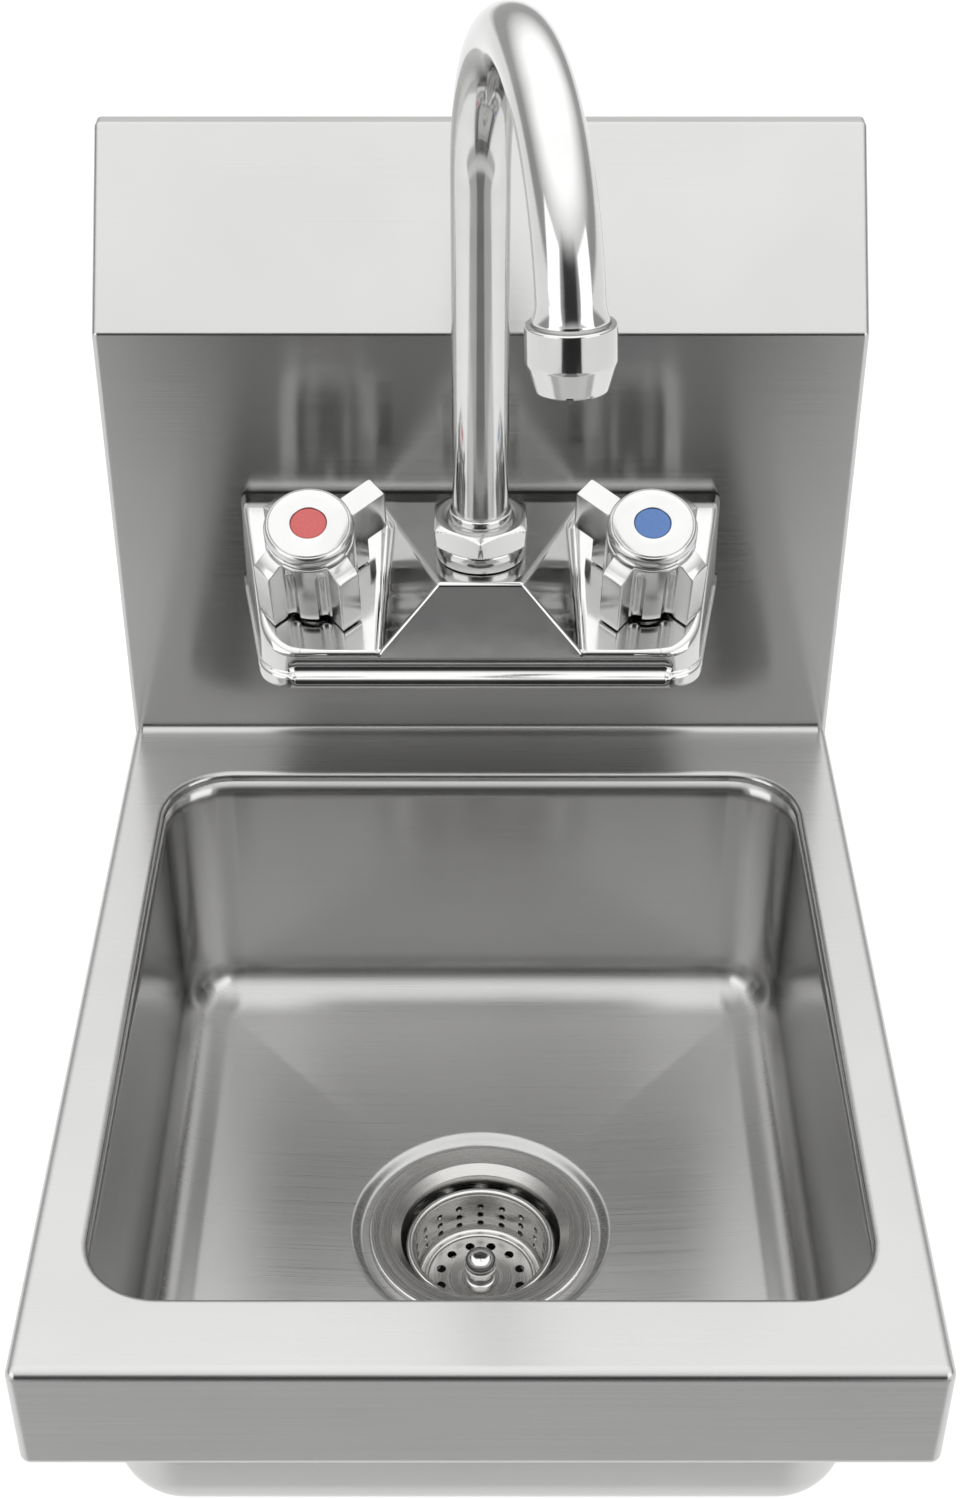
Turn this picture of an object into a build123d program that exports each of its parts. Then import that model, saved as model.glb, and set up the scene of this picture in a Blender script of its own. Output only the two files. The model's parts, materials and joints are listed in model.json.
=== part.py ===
from build123d import *
from math import cos, radians, sin, sqrt, tan
import os

# Frame: +X right, +Y into the wall, +Z up, millimetres.
# The origin is the middle of the bracket's two screw holes, on the wall plane.

# Sink top and backsplash
sheet = 1.2                  # stainless sheet
width = 304.8                # across the side aprons
depth = 411.0                # wall plane to the front apron
deck_below_screws = 212.0    # screw line down to the top of the deck
apron_height = 47.6
apron_return = 12.0          # strip turned in under the aprons
deck_bend = 4.0              # outside radius of the apron bends
splash_run = 62.0            # wall plane to the face of the backsplash
slope_height = 64.0          # bend of the sloped top up to the top edge
top_flat = 6.5               # level strip between the slope and the wall plane
knee_bend = 2.5              # outside radius of the bends across the backsplash
side_bend = 2.5              # outside radius where the backsplash turns back at its sides
splash_cove = 4.0            # weld fillet between deck and backsplash
hem_drop = 26.0              # strip that hangs down from the top edge
hem_gap = 2.0                # clear of the wall plane, so that it slips behind the bracket's lip

# Wall bracket
bracket_width = 236.0
bracket_sheet = 1.5
bracket_drop = 20.0          # plate below the screw line
shelf_rise = 17.0            # screw line up to the shelf that the hem rests on
bracket_lip = 20.0           # upright lip above the shelf
bracket_slot = 4.2           # space between the wall plane and the lip
screw_spacing = 203.2
screw_hole = 3.5             # radius

# Bowl
bowl_width = 266.0
bowl_length = 284.8
bowl_front = 31.6            # front apron to the opening
bowl_corner = 27.0
bowl_draft = 0.6             # degrees
bowl_depth = 122.0           # deck to the edge of the floor
floor_radius = 21.0          # inside radius between walls and floor
floor_fall = 4.4             # fall of the floor towards the drain
floor_flat = 46.0            # half size of the level patch round the drain
lip_radius = 2.5             # rolled edge of the opening
lip_drop = 1.5               # straight wall below the roll
lip_band = 9.0               # flat strip round the opening that is formed with the roll

# Drain
recess_radius = 54.5         # stamped seat for the strainer flange
recess_depth = 3.2
recess_slope = 5.5           # width of the sloped ring
flange_radius = 46.3
flange_thickness = 2.2
mouth_radius = 33.0          # inside of the cup
mouth_round = 3.5
cup_wall = 2.2
cup_depth = 44.0
cup_floor_radius = 25.5      # level floor inside the cup
cup_slope = 11.0             # height of the sloped wall above that floor
outlet_radius = 17.6         # waterway of the outlet
outlet_wall = 4.4
outlet_length = 15.0
spider_height = 3.0
spider_rib = 3.0
guide_bore = 3.06            # hole in the spider for the basket's pin
guide_pin = 3.0
gasket_thickness = 3.0
gasket_radius = 50.0
ring_thickness = 1.0
cup_clearance = 0.9          # between the cup and what is pushed over it
locknut_height = 9.0
locknut_radius = 43.0
locknut_lug = 4.0
thread_clearance = 0.05
tail_radius = 19.05          # outlet pipe, 38.1 across
tail_wall = 1.3
tail_length = 90.0
tail_flange = 2.0
tail_mark = 50.0             # insertion line rolled round the pipe, above its foot
tail_mark_depth = 0.3
slip_nut_radius = 27.5
slip_nut_height = 19.0
washer_thickness = 2.4

# Basket
basket_radius = 31.0
basket_below_flange = 8.3
basket_rim = 3.3             # diameter of the rolled rim
basket_wall = 0.9
basket_wall_radius = 28.2    # outside of the wall, just under the rim
basket_floor_radius = 27.0   # and at its foot
basket_depth = 21.5
basket_foot_round = 2.0      # bend between wall and floor
bead_radius = 22.6           # ring pressed up in the floor
bead_size = 1.0              # its radius
bead_rise = 1.2              # and its height above the floor
wall_hole = 1.4
wall_hole_count = 18
wall_hole_rows = 3
wall_hole_low = 4.1          # floor up to the lowest row
wall_hole_pitch = 4.75       # from row to row
floor_hole = 2.0
floor_hole_ring = 17.1
floor_hole_count = 12
knob_radius = 6.85
knob_height = 14.3           # basket floor to the top of the knob
knob_head = 8.8              # height of its head
knob_neck = 4.5              # radius below the head
knob_foot = 6.0              # radius on the floor
stopper_radius = 22.0
stopper_thickness = 4.0
seat_gap = 0.3               # between parts that touch lightly but move apart

# Faucet body
faucet_gasket = 1.5
body_top_height = 120.0      # deck to the level top of the body
body_height = 44.5
body_depth = 75.0
body_half_back = 99.3        # half width at the backsplash
body_half_front = 86.1       # half width where the sides would meet the front
body_corner = 15.0
lip_height = 6.0             # lip round the foot of the body
lip_round = 2.0              # its upper edge
lip_reach = 1.7              # lip beyond the front of the block above it
lip_reach_side = 0.8         # lip beyond its sides
front_lean = 5.2             # the front face leans back this much at the top
side_lean = 0.3
top_corner = 23.0            # corner radius at the top of the body
pod_tilt = 25.0              # degrees between a handle's axis and the vertical
pod_shelf = 8.7              # level strip behind the sloped pods
pod_inner = 40.3             # inner edge of the pods
ridge_half = 16.0            # half width of the front ridge
facet_shift = 1.2            # the side facets start this far inside the pods' inner edge
facet_drop = 30.0            # level top down to the facets' lowest point
groove_width = 5.3           # of the groove beside a pod, at its rear end
groove_front = 1.6           # and at its front end
groove_depth = 3.2
groove_bevel = 0.5           # the groove takes this much off the pods' inner edges
cove_radius = 4.8
cove_half = 72.0             # half length of the cove in the front
cove_above_foot = 8.6
cove_bite = 2.4              # depth of the cove
edge_round = 1.1             # softened ridges

# Inlets
inlet_spacing = 101.6
inlet_below_top = 23.0       # level top of the body down to the inlet axes
shank_radius = 10.3
shank_bore = 6.0
shank_reach = 46.0           # shank behind the face of the backsplash
shank_socket = 12.0
shank_chamfer = 0.8
relief_width = 2.0           # thread relief behind the nut
splash_hole = 11.6
nut_flats = 30.0
nut_height = 9.0
nut_washer = 2.0
nut_washer_radius = 17.0

# Spout
spout_stand_off = 46.0       # face of the backsplash to the swivel axis
spout_swing = 11.0           # degrees to the right of straight ahead, as photographed
tube_radius = 10.8
tube_wall = 1.4
arch_radius = 71.8           # to the tube's centre line
arch_centre = 274.0          # deck to the arch's centre
arch_turn = 170.0            # degrees
boss_radius = 14.0
boss_height = 9.0
swivel_radius = 8.5
swivel_clearance = 0.06
swivel_length = 24.0
foot_bore = 6.0
foot_spigot = 12.0           # foot inside the tube
shoulder_radius = 13.4
shoulder_height = 1.6
thrust_height = 1.2
ring_groove = 1.8            # O-ring section
ring_places = (6.0, 14.0)    # O-rings below the shoulder
foot_bead = 1.2              # bead on the tube where it leaves the nut

# Spout nut
nut_gap = 0.4
nut_flange_radius = 17.9
nut_flange_height = 7.0
hex_flats = 35.8
hex_height = 9.4
hex_chamfer = 1.6
collar_radius = 12.2
collar_height = 3.1
collar_clearance = 0.6

# Outlet
outlet_collar_radius = 14.2
outlet_collar_height = 11.2
outlet_tip_radius = 11.2
outlet_tip_height = 9.7
flare_radius = 12.4
flare_length = 7.0
outlet_spigot = 9.9
outlet_spigot_length = 6.0
outlet_waterway = 8.4
insert_radius = 9.6
insert_wall = 0.8
screen_thickness = 1.0
screen_hole = 0.85
notch_width = 2.2
notch_depth = 0.9
notch_angles = (74, 106, 254, 286)

# Handles
handle_half_spacing = 65.5
handle_height = 45.5         # pod face to the top of the cap
handle_gap = 1.3             # pod face to the lobes
barrel_gap = 3.6             # pod face to the barrel between the lobes
barrel_radius = 17.4
lobe_radius = 24.0
lobe_width = 9.0
lobe_height = 34.0
lobe_top_radius = 18.6       # where the bevel on top of a lobe ends
lobe_top_height = 38.0
lever_radius = 33.4
lever_height = 39.2
lever_angle = 40.0           # degrees from the line between the handles
flute_radius = 2.3
flute_centre = 19.0
flute_offset = 25.0          # degrees from a lobe to the flute beside it
cap_radius = 14.9
cap_rim_radius = 16.6
cap_height = 6.4
neck_round = 1.6
index_radius = 6.95
index_clearance = 0.1
index_recess = 2.0
index_thickness = 1.7
handle_cavity_radius = 13.8
handle_cavity_height = 24.0
screw_head_radius = 3.8
screw_head_height = 2.4
screw_radius = 2.0
screw_length = 13.0
screw_web = 3.4              # metal under the screw's head

# Cartridges
socket_radius = 10.0
socket_depth = 22.0
cartridge_radius = 9.95
cartridge_height = 15.0      # above the pod face
cartridge_neck = 7.5
bonnet_flats = 22.0
bonnet_height = 7.0
stem_radius = 4.0
stem_clearance = 0.05
stem_foot = 14.0             # stem below the pod face
water_bore = 4.0

# Places worked out from the sizes above
deck_z = -deck_below_screws
splash_top = deck_below_screws + shelf_rise + hem_drop
splash_knee = splash_top - slope_height
face_y = -splash_run
bowl_y = -depth + bowl_front + bowl_length / 2
floor_z = deck_z - bowl_depth
drain_z = floor_z - floor_fall
seat_z = drain_z - recess_depth
flange_z = seat_z + flange_thickness
under_bowl_z = seat_z - sheet
cup_radius = mouth_radius + cup_wall
cup_floor_z = flange_z - cup_depth
body_back_y = face_y - faucet_gasket
body_top_z = deck_z + body_top_height
body_foot_z = body_top_z - body_height
body_front_y = body_back_y - body_depth
spout_y = face_y - spout_stand_off
pod_edge_y = body_back_y - pod_shelf
inlet_z = body_top_z - inlet_below_top
pod_slope = tan(radians(pod_tilt))


def pod_z(y):
    """Height of the sloped pod faces at a distance from the wall."""
    return body_top_z - pod_slope * (pod_edge_y - y)


def turned(outline, radii=0.0):
    """Solid of revolution about Z from (radius, height) corners, with rounded corners."""
    face = make_face(Plane.XZ * FilletPolyline(*outline, radius=radii, close=True))
    return revolve(face, Axis.Z)


def tube(outer, inner, low, high):
    """Ring about Z between two heights."""
    ring = Circle(outer) - Circle(inner)
    return Pos(0, 0, low) * extrude(ring, amount=high - low)


def rod(radius, low, high):
    """Cylinder about Z between two heights."""
    return Pos(0, 0, low) * extrude(Circle(radius), amount=high - low)


def block(x0, x1, y0, y1, z0, z1):
    """Box between two corners."""
    size = (x1 - x0, y1 - y0, z1 - z0)
    return Pos((x0 + x1) / 2, (y0 + y1) / 2, (z0 + z1) / 2) * Box(*size)


def along_y(shape, x, y, z):
    """Turn a solid made about +Z so that it points along +Y, and move it."""
    return Pos(x, y, z) * Rot(-90, 0, 0) * shape


def hexagon(flats, height):
    """Hexagonal bar with a corner towards -Y."""
    return extrude(Rot(0, 0, 30) * RegularPolygon(flats / 2, 6, major_radius=False), amount=height)


def both_ways(shape):
    """A solid and its mirror image across the middle of the sink."""
    return shape + mirror(shape, about=Plane.YZ)


def edges_off(solid, *faces):
    """Edges of a solid that aren't on the given faces."""
    kept_out = [edge for face in faces for edge in face.edges()]
    return ShapeList([e for e in solid.edges() if not any(e.is_same(k) for k in kept_out)])


# Deck: the level top with its rolled opening, the front and side aprons and their returns

def opening(grow, low, high):
    """Prism of the bowl's opening, grown outwards."""
    plan = RectangleRounded(bowl_width + 2 * grow, bowl_length + 2 * grow, bowl_corner + grow)
    return Pos(0, bowl_y, low) * extrude(plan, amount=high - low)


def rolled_edge():
    """Strip round the opening that rolls over into the bowl."""
    foot = deck_z - lip_radius - lip_drop
    skin = opening(lip_band, foot, deck_z) - opening(0, foot, deck_z)
    roll = skin.faces().sort_by(Axis.Z)[-1].inner_wires()[0].edges()
    skin = fillet(roll, lip_radius)
    core = opening(lip_band, foot, deck_z - sheet) - opening(sheet, foot, deck_z - sheet)
    inner_roll = core.faces().sort_by(Axis.Z)[-1].inner_wires()[0].edges()
    return skin - fillet(inner_roll, lip_radius - sheet)


def make_deck():
    top = deck_z
    foot = deck_z - apron_height
    outside = block(-width / 2, width / 2, -depth, 0, foot, top)
    outside = fillet(edges_off(outside, outside.faces().sort_by(Axis.Y)[-1]), deck_bend)
    inside = block(-width / 2 + sheet, width / 2 - sheet, -depth + sheet, sheet, foot + sheet, top - sheet)
    inside = fillet(edges_off(inside, inside.faces().sort_by(Axis.Y)[-1]), deck_bend - sheet)
    return_x = width / 2 - apron_return
    underside = block(-return_x, return_x, -depth + apron_return, sheet, foot - sheet, foot + 2 * sheet)
    behind_splash = block(-width, width, face_y, sheet, top - deck_bend, top + sheet)
    tray = outside - inside - underside - behind_splash
    return tray - opening(lip_band, top - deck_bend, top + sheet) + rolled_edge()


# Backsplash: upright panel, sloped top, side returns, top strip and the hem that hangs on the bracket

def splash_prism(inset, half_width, side_round):
    """Full block behind the backsplash's skin, moved inwards by an inset."""
    past_wall = 4 * splash_cove
    low = deck_z - 4 * deck_bend
    corners = (
        (face_y, low),
        (face_y, deck_z + splash_knee),
        (-top_flat, deck_z + splash_top),
        (past_wall, deck_z + splash_top),
        (past_wall, low),
    )
    outline = FilletPolyline(*corners, radius=(0, knee_bend, knee_bend, 0, 0), close=True)
    face = make_face(Plane.YZ * outline)
    if inset:
        face = offset(face, amount=-inset)
    solid = extrude(face, amount=half_width, both=True)
    by_y = solid.faces().sort_by(Axis.Y)
    by_z = solid.faces().sort_by(Axis.Z)
    sides = solid.faces().sort_by(Axis.X)
    side_edges = sides[0].edges() + sides[-1].edges()
    rear = [e for e in by_y[-1].edges()] + [e for e in by_z[0].edges()]
    bends = ShapeList([e for e in side_edges if not any(e.is_same(k) for k in rear)])
    return fillet(bends, side_round)


def make_backsplash():
    foot = deck_z - deck_bend
    half = width / 2
    skin = splash_prism(0, half, side_bend) - splash_prism(sheet, half - sheet, side_bend - sheet)
    skin = skin & block(-half, half, face_y - sheet, 0, foot, deck_z + splash_top + sheet)
    hem_top = deck_z + splash_top - sheet / 2
    hem_foot = deck_z + splash_top - hem_drop
    hem = block(-half + sheet, half - sheet, -hem_gap - sheet, -hem_gap, hem_foot, hem_top)
    cove_x = half - deck_bend
    cove = block(-cove_x, cove_x, face_y - splash_cove, face_y, deck_z, deck_z + splash_cove)
    hollow = Rot(0, 90, 0) * Cylinder(splash_cove, width)
    cove = cove - Pos(0, face_y - splash_cove, deck_z + splash_cove) * hollow
    hole = along_y(Cylinder(splash_hole, 4 * sheet), inlet_spacing / 2, face_y, inlet_z)
    return skin + hem + cove - both_ways(hole)


def make_wall_bracket():
    half = bracket_width / 2
    front = -bracket_slot - bracket_sheet
    low = shelf_rise - bracket_sheet
    plate = block(-half, half, -bracket_sheet, 0, -bracket_drop, shelf_rise)
    step = block(-half, half, front, 0, low, shelf_rise)
    lip = block(-half, half, front, -bracket_slot, low, shelf_rise + bracket_lip)
    screws = along_y(Cylinder(screw_hole, 4 * bracket_sheet), screw_spacing / 2, 0, 0)
    return plate + step + lip - both_ways(screws)


# Bowl

def pan(grow):
    """Space inside the bowl, or with a sheet's thickness of growth its outer skin."""
    rim_z = deck_z - lip_radius - lip_drop
    low = floor_z - grow
    lean = (rim_z - low) * tan(radians(bowl_draft))
    wide = RectangleRounded(bowl_width + 2 * grow, bowl_length + 2 * grow, bowl_corner + grow)
    narrow = RectangleRounded(
        bowl_width + 2 * grow - 2 * lean, bowl_length + 2 * grow - 2 * lean, bowl_corner + grow - lean
    )
    solid = loft([Pos(0, bowl_y, low) * narrow, Pos(0, bowl_y, rim_z) * wide])
    solid = fillet(solid.faces().sort_by(Axis.Z)[0].edges(), floor_radius + grow)
    floor_x = bowl_width - 2 * lean - 2 * floor_radius
    floor_y = bowl_length - 2 * lean - 2 * floor_radius
    patch = Rectangle(2 * floor_flat, 2 * floor_flat * floor_y / floor_x)
    rim = Rectangle(floor_x, floor_y)
    falls = loft([Pos(0, bowl_y, low - floor_fall) * patch, Pos(0, bowl_y, low) * rim], ruled=True)
    seat_low = low - floor_fall - recess_depth
    seat = turned(
        (
            (0, seat_low),
            (recess_radius - recess_slope + grow, seat_low),
            (recess_radius + grow, low - floor_fall),
            (recess_radius + grow, low - floor_fall / 2),
            (0, low - floor_fall / 2),
        )
    )
    return solid + falls + Pos(0, bowl_y, 0) * seat


def make_bowl():
    drain_hole = Pos(0, bowl_y, 0) * rod(cup_radius + cup_clearance, seat_z - 4 * sheet, floor_z)
    return pan(sheet) - pan(0) - drain_hole


# Drain stack, all about the bowl's own vertical axis

outlet_outer = outlet_radius + outlet_wall
outlet_foot_z = cup_floor_z - outlet_length
gasket_low_z = under_bowl_z - gasket_thickness
ring_low_z = gasket_low_z - ring_thickness
locknut_low_z = ring_low_z - locknut_height


def make_strainer_body():
    outside = turned(
        (
            (0, outlet_foot_z),
            (outlet_outer, outlet_foot_z),
            (outlet_outer, cup_floor_z - cup_wall),
            (cup_floor_radius, cup_floor_z - cup_wall),
            (cup_radius, cup_floor_z + cup_slope),
            (cup_radius, seat_z),
            (flange_radius, seat_z),
            (flange_radius, flange_z),
            (0, flange_z),
        ),
        (0, 0, 0, 2 * cup_wall, 2 * cup_wall, 0, 0, flange_thickness * 0.6, 0),
    )
    inside = turned(
        (
            (0, cup_floor_z),
            (cup_floor_radius, cup_floor_z),
            (mouth_radius, cup_floor_z + cup_slope),
            (mouth_radius, flange_z - mouth_round),
            (mouth_radius + mouth_round, flange_z),
            (mouth_radius + mouth_round, flange_z + mouth_round),
            (0, flange_z + mouth_round),
        ),
        (0, cup_wall, 2 * cup_wall, 0, 0, 0, 0),
    )
    roll = Pos(0, 0, flange_z - mouth_round) * Torus(mouth_radius + mouth_round, mouth_round)
    waterway = rod(outlet_radius, outlet_foot_z, cup_floor_z + 1)
    rib = block(-outlet_radius, outlet_radius, -spider_rib / 2, spider_rib / 2,
                cup_floor_z - spider_height, cup_floor_z)
    hub = rod(guide_pin + spider_rib, cup_floor_z - 2 * spider_height, cup_floor_z)
    spider = rib + Rot(0, 0, 90) * rib + hub
    guide = rod(guide_bore, cup_floor_z - 4 * spider_height, cup_floor_z)
    mouth = rod(mouth_radius, cup_floor_z + cup_slope, flange_z)
    body = outside - inside + (roll - mouth) & rod(flange_radius, outlet_foot_z, flange_z)
    return body - waterway + spider - guide


def make_sink_gasket():
    return tube(gasket_radius, cup_radius + cup_clearance, gasket_low_z, under_bowl_z)


def make_friction_ring():
    return tube(gasket_radius - 2, cup_radius + cup_clearance, ring_low_z, gasket_low_z)


def lugged_ring(outer, inner, lug, count, low, high):
    """Nut with a round body and lugs to grip."""
    ring = rod(outer, low, high)
    rib = block(0, outer + lug, -lug, lug, low, high)
    for index in range(count):
        ring += Rot(0, 0, 360 * index / count) * rib
    return ring - rod(inner, low, high)


def make_strainer_locknut():
    inner = cup_radius + thread_clearance
    return lugged_ring(locknut_radius, inner, locknut_lug, 6, locknut_low_z, ring_low_z)


def make_tailpiece_washer():
    inner = tail_radius - tail_wall
    return tube(outlet_outer, inner, outlet_foot_z - washer_thickness, outlet_foot_z)


tail_top_z = outlet_foot_z - washer_thickness
tail_foot_z = tail_top_z - tail_length


def make_tailpiece():
    pipe = rod(tail_radius, tail_foot_z, tail_top_z)
    pipe += rod(outlet_outer, tail_top_z - tail_flange, tail_top_z)
    mark_z = tail_foot_z + tail_mark
    pipe -= tube(tail_radius + 1, tail_radius - tail_mark_depth, mark_z, mark_z + 2 * tail_mark_depth)
    return pipe - rod(tail_radius - tail_wall, tail_foot_z, tail_top_z)


def make_slip_nut():
    low = outlet_foot_z - slip_nut_height / 2
    high = low + slip_nut_height
    ledge = tail_top_z - tail_flange
    nut = lugged_ring(slip_nut_radius, tail_radius + 0.3, 2.5, 8, low, high)
    return nut - rod(outlet_outer + thread_clearance, ledge, high)


# Basket, its knob and its stopper

basket_top_z = flange_z - basket_below_flange
basket_floor_z = basket_top_z - basket_depth
stopper_low_z = cup_floor_z + seat_gap
stopper_top_z = stopper_low_z + stopper_thickness


def make_basket():
    rim_z = basket_top_z - basket_rim / 2
    outline = (
        (0, basket_floor_z - basket_wall),
        (basket_floor_radius, basket_floor_z - basket_wall),
        (basket_wall_radius, rim_z),
        (0, rim_z),
    )
    hollow = (
        (0, basket_floor_z),
        (basket_floor_radius - basket_wall, basket_floor_z),
        (basket_wall_radius - basket_wall, rim_z),
        (basket_wall_radius - basket_wall, basket_top_z),
        (0, basket_top_z),
    )
    shell = turned(outline, (0, basket_foot_round + basket_wall, 0, 0))
    shell -= turned(hollow, (0, basket_foot_round, 0, 0, 0))
    shell += Pos(0, 0, rim_z) * Torus(basket_radius - basket_rim / 2, basket_rim / 2)
    shell += Pos(0, 0, basket_floor_z + bead_rise - bead_size) * Torus(bead_radius, bead_size)
    reach = basket_wall + 2 * wall_hole
    punch = Pos(basket_floor_radius, 0, 0) * Rot(0, 90, 0) * Cylinder(wall_hole, 2 * reach)
    punches = [
        Rot(0, 0, 360 * (column + 0.5) / wall_hole_count)
        * Pos(0, 0, basket_floor_z + wall_hole_low + row * wall_hole_pitch)
        * punch
        for column in range(wall_hole_count)
        for row in range(wall_hole_rows)
    ]
    floor_punch = Pos(floor_hole_ring, 0, basket_floor_z) * Cylinder(floor_hole, 4 * basket_wall)
    punches += [
        Rot(0, 0, 360 * (spot + 0.5) / floor_hole_count) * floor_punch for spot in range(floor_hole_count)
    ]
    post_hole = rod(guide_pin + thread_clearance, basket_floor_z - 2, basket_floor_z + 2)
    return shell - punches - post_hole


def make_basket_knob():
    top_z = basket_floor_z + knob_height
    head_z = top_z - knob_head
    under = knob_head * 0.2
    crown = knob_head * 0.35
    mushroom = turned(
        (
            (0, basket_floor_z),
            (knob_foot, basket_floor_z),
            (knob_neck, basket_floor_z + knob_foot - knob_neck),
            (knob_neck, head_z),
            (knob_radius, head_z + under),
            (knob_radius, top_z - crown),
            (knob_radius - crown, top_z),
            (0, top_z),
        ),
        (0, 0.4, 1.2, 0.8, 1.4, 2.8, 3.6, 0),
    )
    pin_low = cup_floor_z - 1.8 * spider_height
    return mushroom + rod(guide_pin, pin_low, basket_floor_z)


def make_basket_stopper():
    hub_radius = guide_pin * 2.2
    disc = rod(stopper_radius, stopper_low_z, stopper_top_z)
    disc = chamfer(disc.edges().group_by(Axis.Z)[0], stopper_thickness * 0.4)
    hub = rod(hub_radius, stopper_top_z, basket_floor_z - basket_wall)
    return disc + hub - rod(guide_pin + thread_clearance, stopper_low_z, basket_floor_z)


# Faucet body: a cast block with a lip round its foot, sloped pods and a raised middle

def body_plan(inset_side, inset_front, corner):
    """Outline seen from above: wide at the backsplash, narrower in front, rounded front corners."""
    back = body_half_back - inset_side
    front = body_half_front - inset_side
    front_y = body_front_y + inset_front
    corners = ((-back, body_back_y), (-front, front_y), (front, front_y), (back, body_back_y))
    return make_face(FilletPolyline(*corners, radius=(0, corner, corner, 0), close=True))


def pod_cutter():
    """Everything above the right pod's sloped face."""
    front = body_front_y - body_corner
    above = body_top_z + pod_shelf
    corners = (
        (pod_edge_y, body_top_z),
        (front, pod_z(front)),
        (front, above),
        (pod_edge_y + pod_shelf, above),
        (pod_edge_y + pod_shelf, pod_z(pod_edge_y + pod_shelf)),
    )
    face = Pos(pod_inner, 0, 0) * make_face(Plane.YZ * Polyline(*corners, close=True))
    return extrude(face, amount=body_half_back, dir=(1, 0, 0))


def facet_cutter():
    """Everything above the three-cornered facet between the ridge and the right pod."""
    shoulder = Vector(pod_inner, pod_edge_y - facet_shift, body_top_z)
    ridge_end = Vector(ridge_half, body_front_y + lip_reach + front_lean, body_top_z)
    low = Vector(pod_inner - facet_shift, body_front_y + lip_reach, body_top_z - facet_drop)
    normal = (ridge_end - shoulder).cross(low - shoulder)
    if normal.Z < 0:
        normal = -normal
    size = 4 * body_height
    above = Pos(0, 0, size / 2) * Box(size, size, size)
    slab = Plane(origin=shoulder, z_dir=normal) * above
    return slab & block(0, pod_inner, body_front_y - lip_reach, pod_edge_y, body_foot_z, body_top_z + size)


def groove_cutter():
    """Sharp groove along the right pod's inner edge, fading out at the front."""
    points = []
    rear = (pod_edge_y - 2 * groove_depth, groove_width, groove_depth)
    for y, breadth, sink in ((body_front_y, groove_front, groove_depth * 0.2), rear):
        z = pod_z(y)
        points.append((pod_inner + groove_bevel, y, z + groove_bevel))
        points.append((pod_inner - breadth, y, z + groove_depth))
        points.append((pod_inner - breadth * 0.6, y, z - sink))
    return ConvexPolyhedron(points)


def handle_plane(side):
    """Frame on a pod's face: its Z is the handle's axis, and its Y points up the slope."""
    axis = (0, -sin(radians(pod_tilt)), cos(radians(pod_tilt)))
    centre = (side * handle_half_spacing, spout_y, pod_z(spout_y))
    return Plane(origin=centre, x_dir=(1, 0, 0), z_dir=axis)


def make_faucet_body():
    foot = Pos(0, 0, body_foot_z) * extrude(body_plan(0, 0, body_corner), amount=lip_height)
    kept = edges_off(foot, foot.faces().sort_by(Axis.Y)[-1], foot.faces().sort_by(Axis.Z)[0])
    foot = fillet(kept, lip_round)
    low = body_plan(lip_reach_side, lip_reach, body_corner)
    high = body_plan(lip_reach_side + side_lean, lip_reach + front_lean, top_corner)
    tower = loft([Pos(0, 0, body_foot_z + lip_height / 2) * low, Pos(0, 0, body_top_z) * high])
    tower = tower - both_ways(pod_cutter()) - both_ways(facet_cutter())
    cast = foot + tower - both_ways(groove_cutter())
    cove_y = body_front_y + lip_reach - cove_radius + cove_bite
    cove_z = body_foot_z + cove_above_foot
    cove = Pos(0, cove_y, cove_z) * Rot(0, 90, 0) * Cylinder(cove_radius, 2 * cove_half)
    cove_end = Pos(cove_half, cove_y, cove_z) * Sphere(cove_radius)
    cast = cast - cove - both_ways(cove_end)
    boss = rod(boss_radius, body_top_z - 1, body_top_z + boss_height)
    swivel = rod(
        swivel_radius + swivel_clearance,
        body_top_z + boss_height - swivel_length,
        body_top_z + boss_height,
    )
    well = rod(foot_bore, body_foot_z + lip_height, body_top_z)
    cast = cast + Pos(0, spout_y, 0) * boss - Pos(0, spout_y, 0) * (swivel + well)
    socket = handle_plane(1) * rod(socket_radius, -socket_depth, cartridge_height)
    at_inlet = Pos(inlet_spacing / 2, body_back_y, inlet_z) * Rot(-90, 0, 0)
    shank_hole = at_inlet * rod(shank_radius + thread_clearance, -shank_socket, 1)
    feed = at_inlet * rod(shank_bore, -body_depth / 2, 0)
    socket_foot = handle_plane(1).from_local_coords((0, 0, -socket_depth + water_bore))
    cross = Rot(0, 90, 0) * Cylinder(water_bore, 2 * handle_half_spacing)
    cross = Pos(0, socket_foot.Y - water_bore, socket_foot.Z) * cross
    return cast - both_ways(socket) - both_ways(shank_hole) - both_ways(feed) - cross


def make_faucet_gasket():
    inset = edge_round
    half = body_half_back - lip_reach_side - side_lean - inset
    plate = block(-half, half, body_back_y, face_y, body_foot_z + inset, body_top_z - inset)
    hole = along_y(Cylinder(splash_hole, 4 * faucet_gasket), inlet_spacing / 2, face_y, inlet_z)
    return plate - both_ways(hole)


# Inlets: shank, washer and locknut on each side

def make_inlet_shank(side):
    end = shank_socket + faucet_gasket + shank_reach
    relief = shank_socket + faucet_gasket + sheet + nut_washer + nut_height + relief_width / 2
    pipe = tube(shank_radius, shank_bore, 0, end)
    pipe = chamfer(pipe.edges().filter_by(GeomType.CIRCLE).group_by(Axis.Z)[-1], shank_chamfer)
    pipe -= tube(shank_radius + 1, shank_radius - shank_chamfer, relief, relief + relief_width)
    return along_y(pipe, side * inlet_spacing / 2, body_back_y - shank_socket, inlet_z)


def make_inlet_washer(side):
    ring = tube(nut_washer_radius, shank_radius + thread_clearance, 0, nut_washer)
    return along_y(ring, side * inlet_spacing / 2, face_y + sheet, inlet_z)


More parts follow.
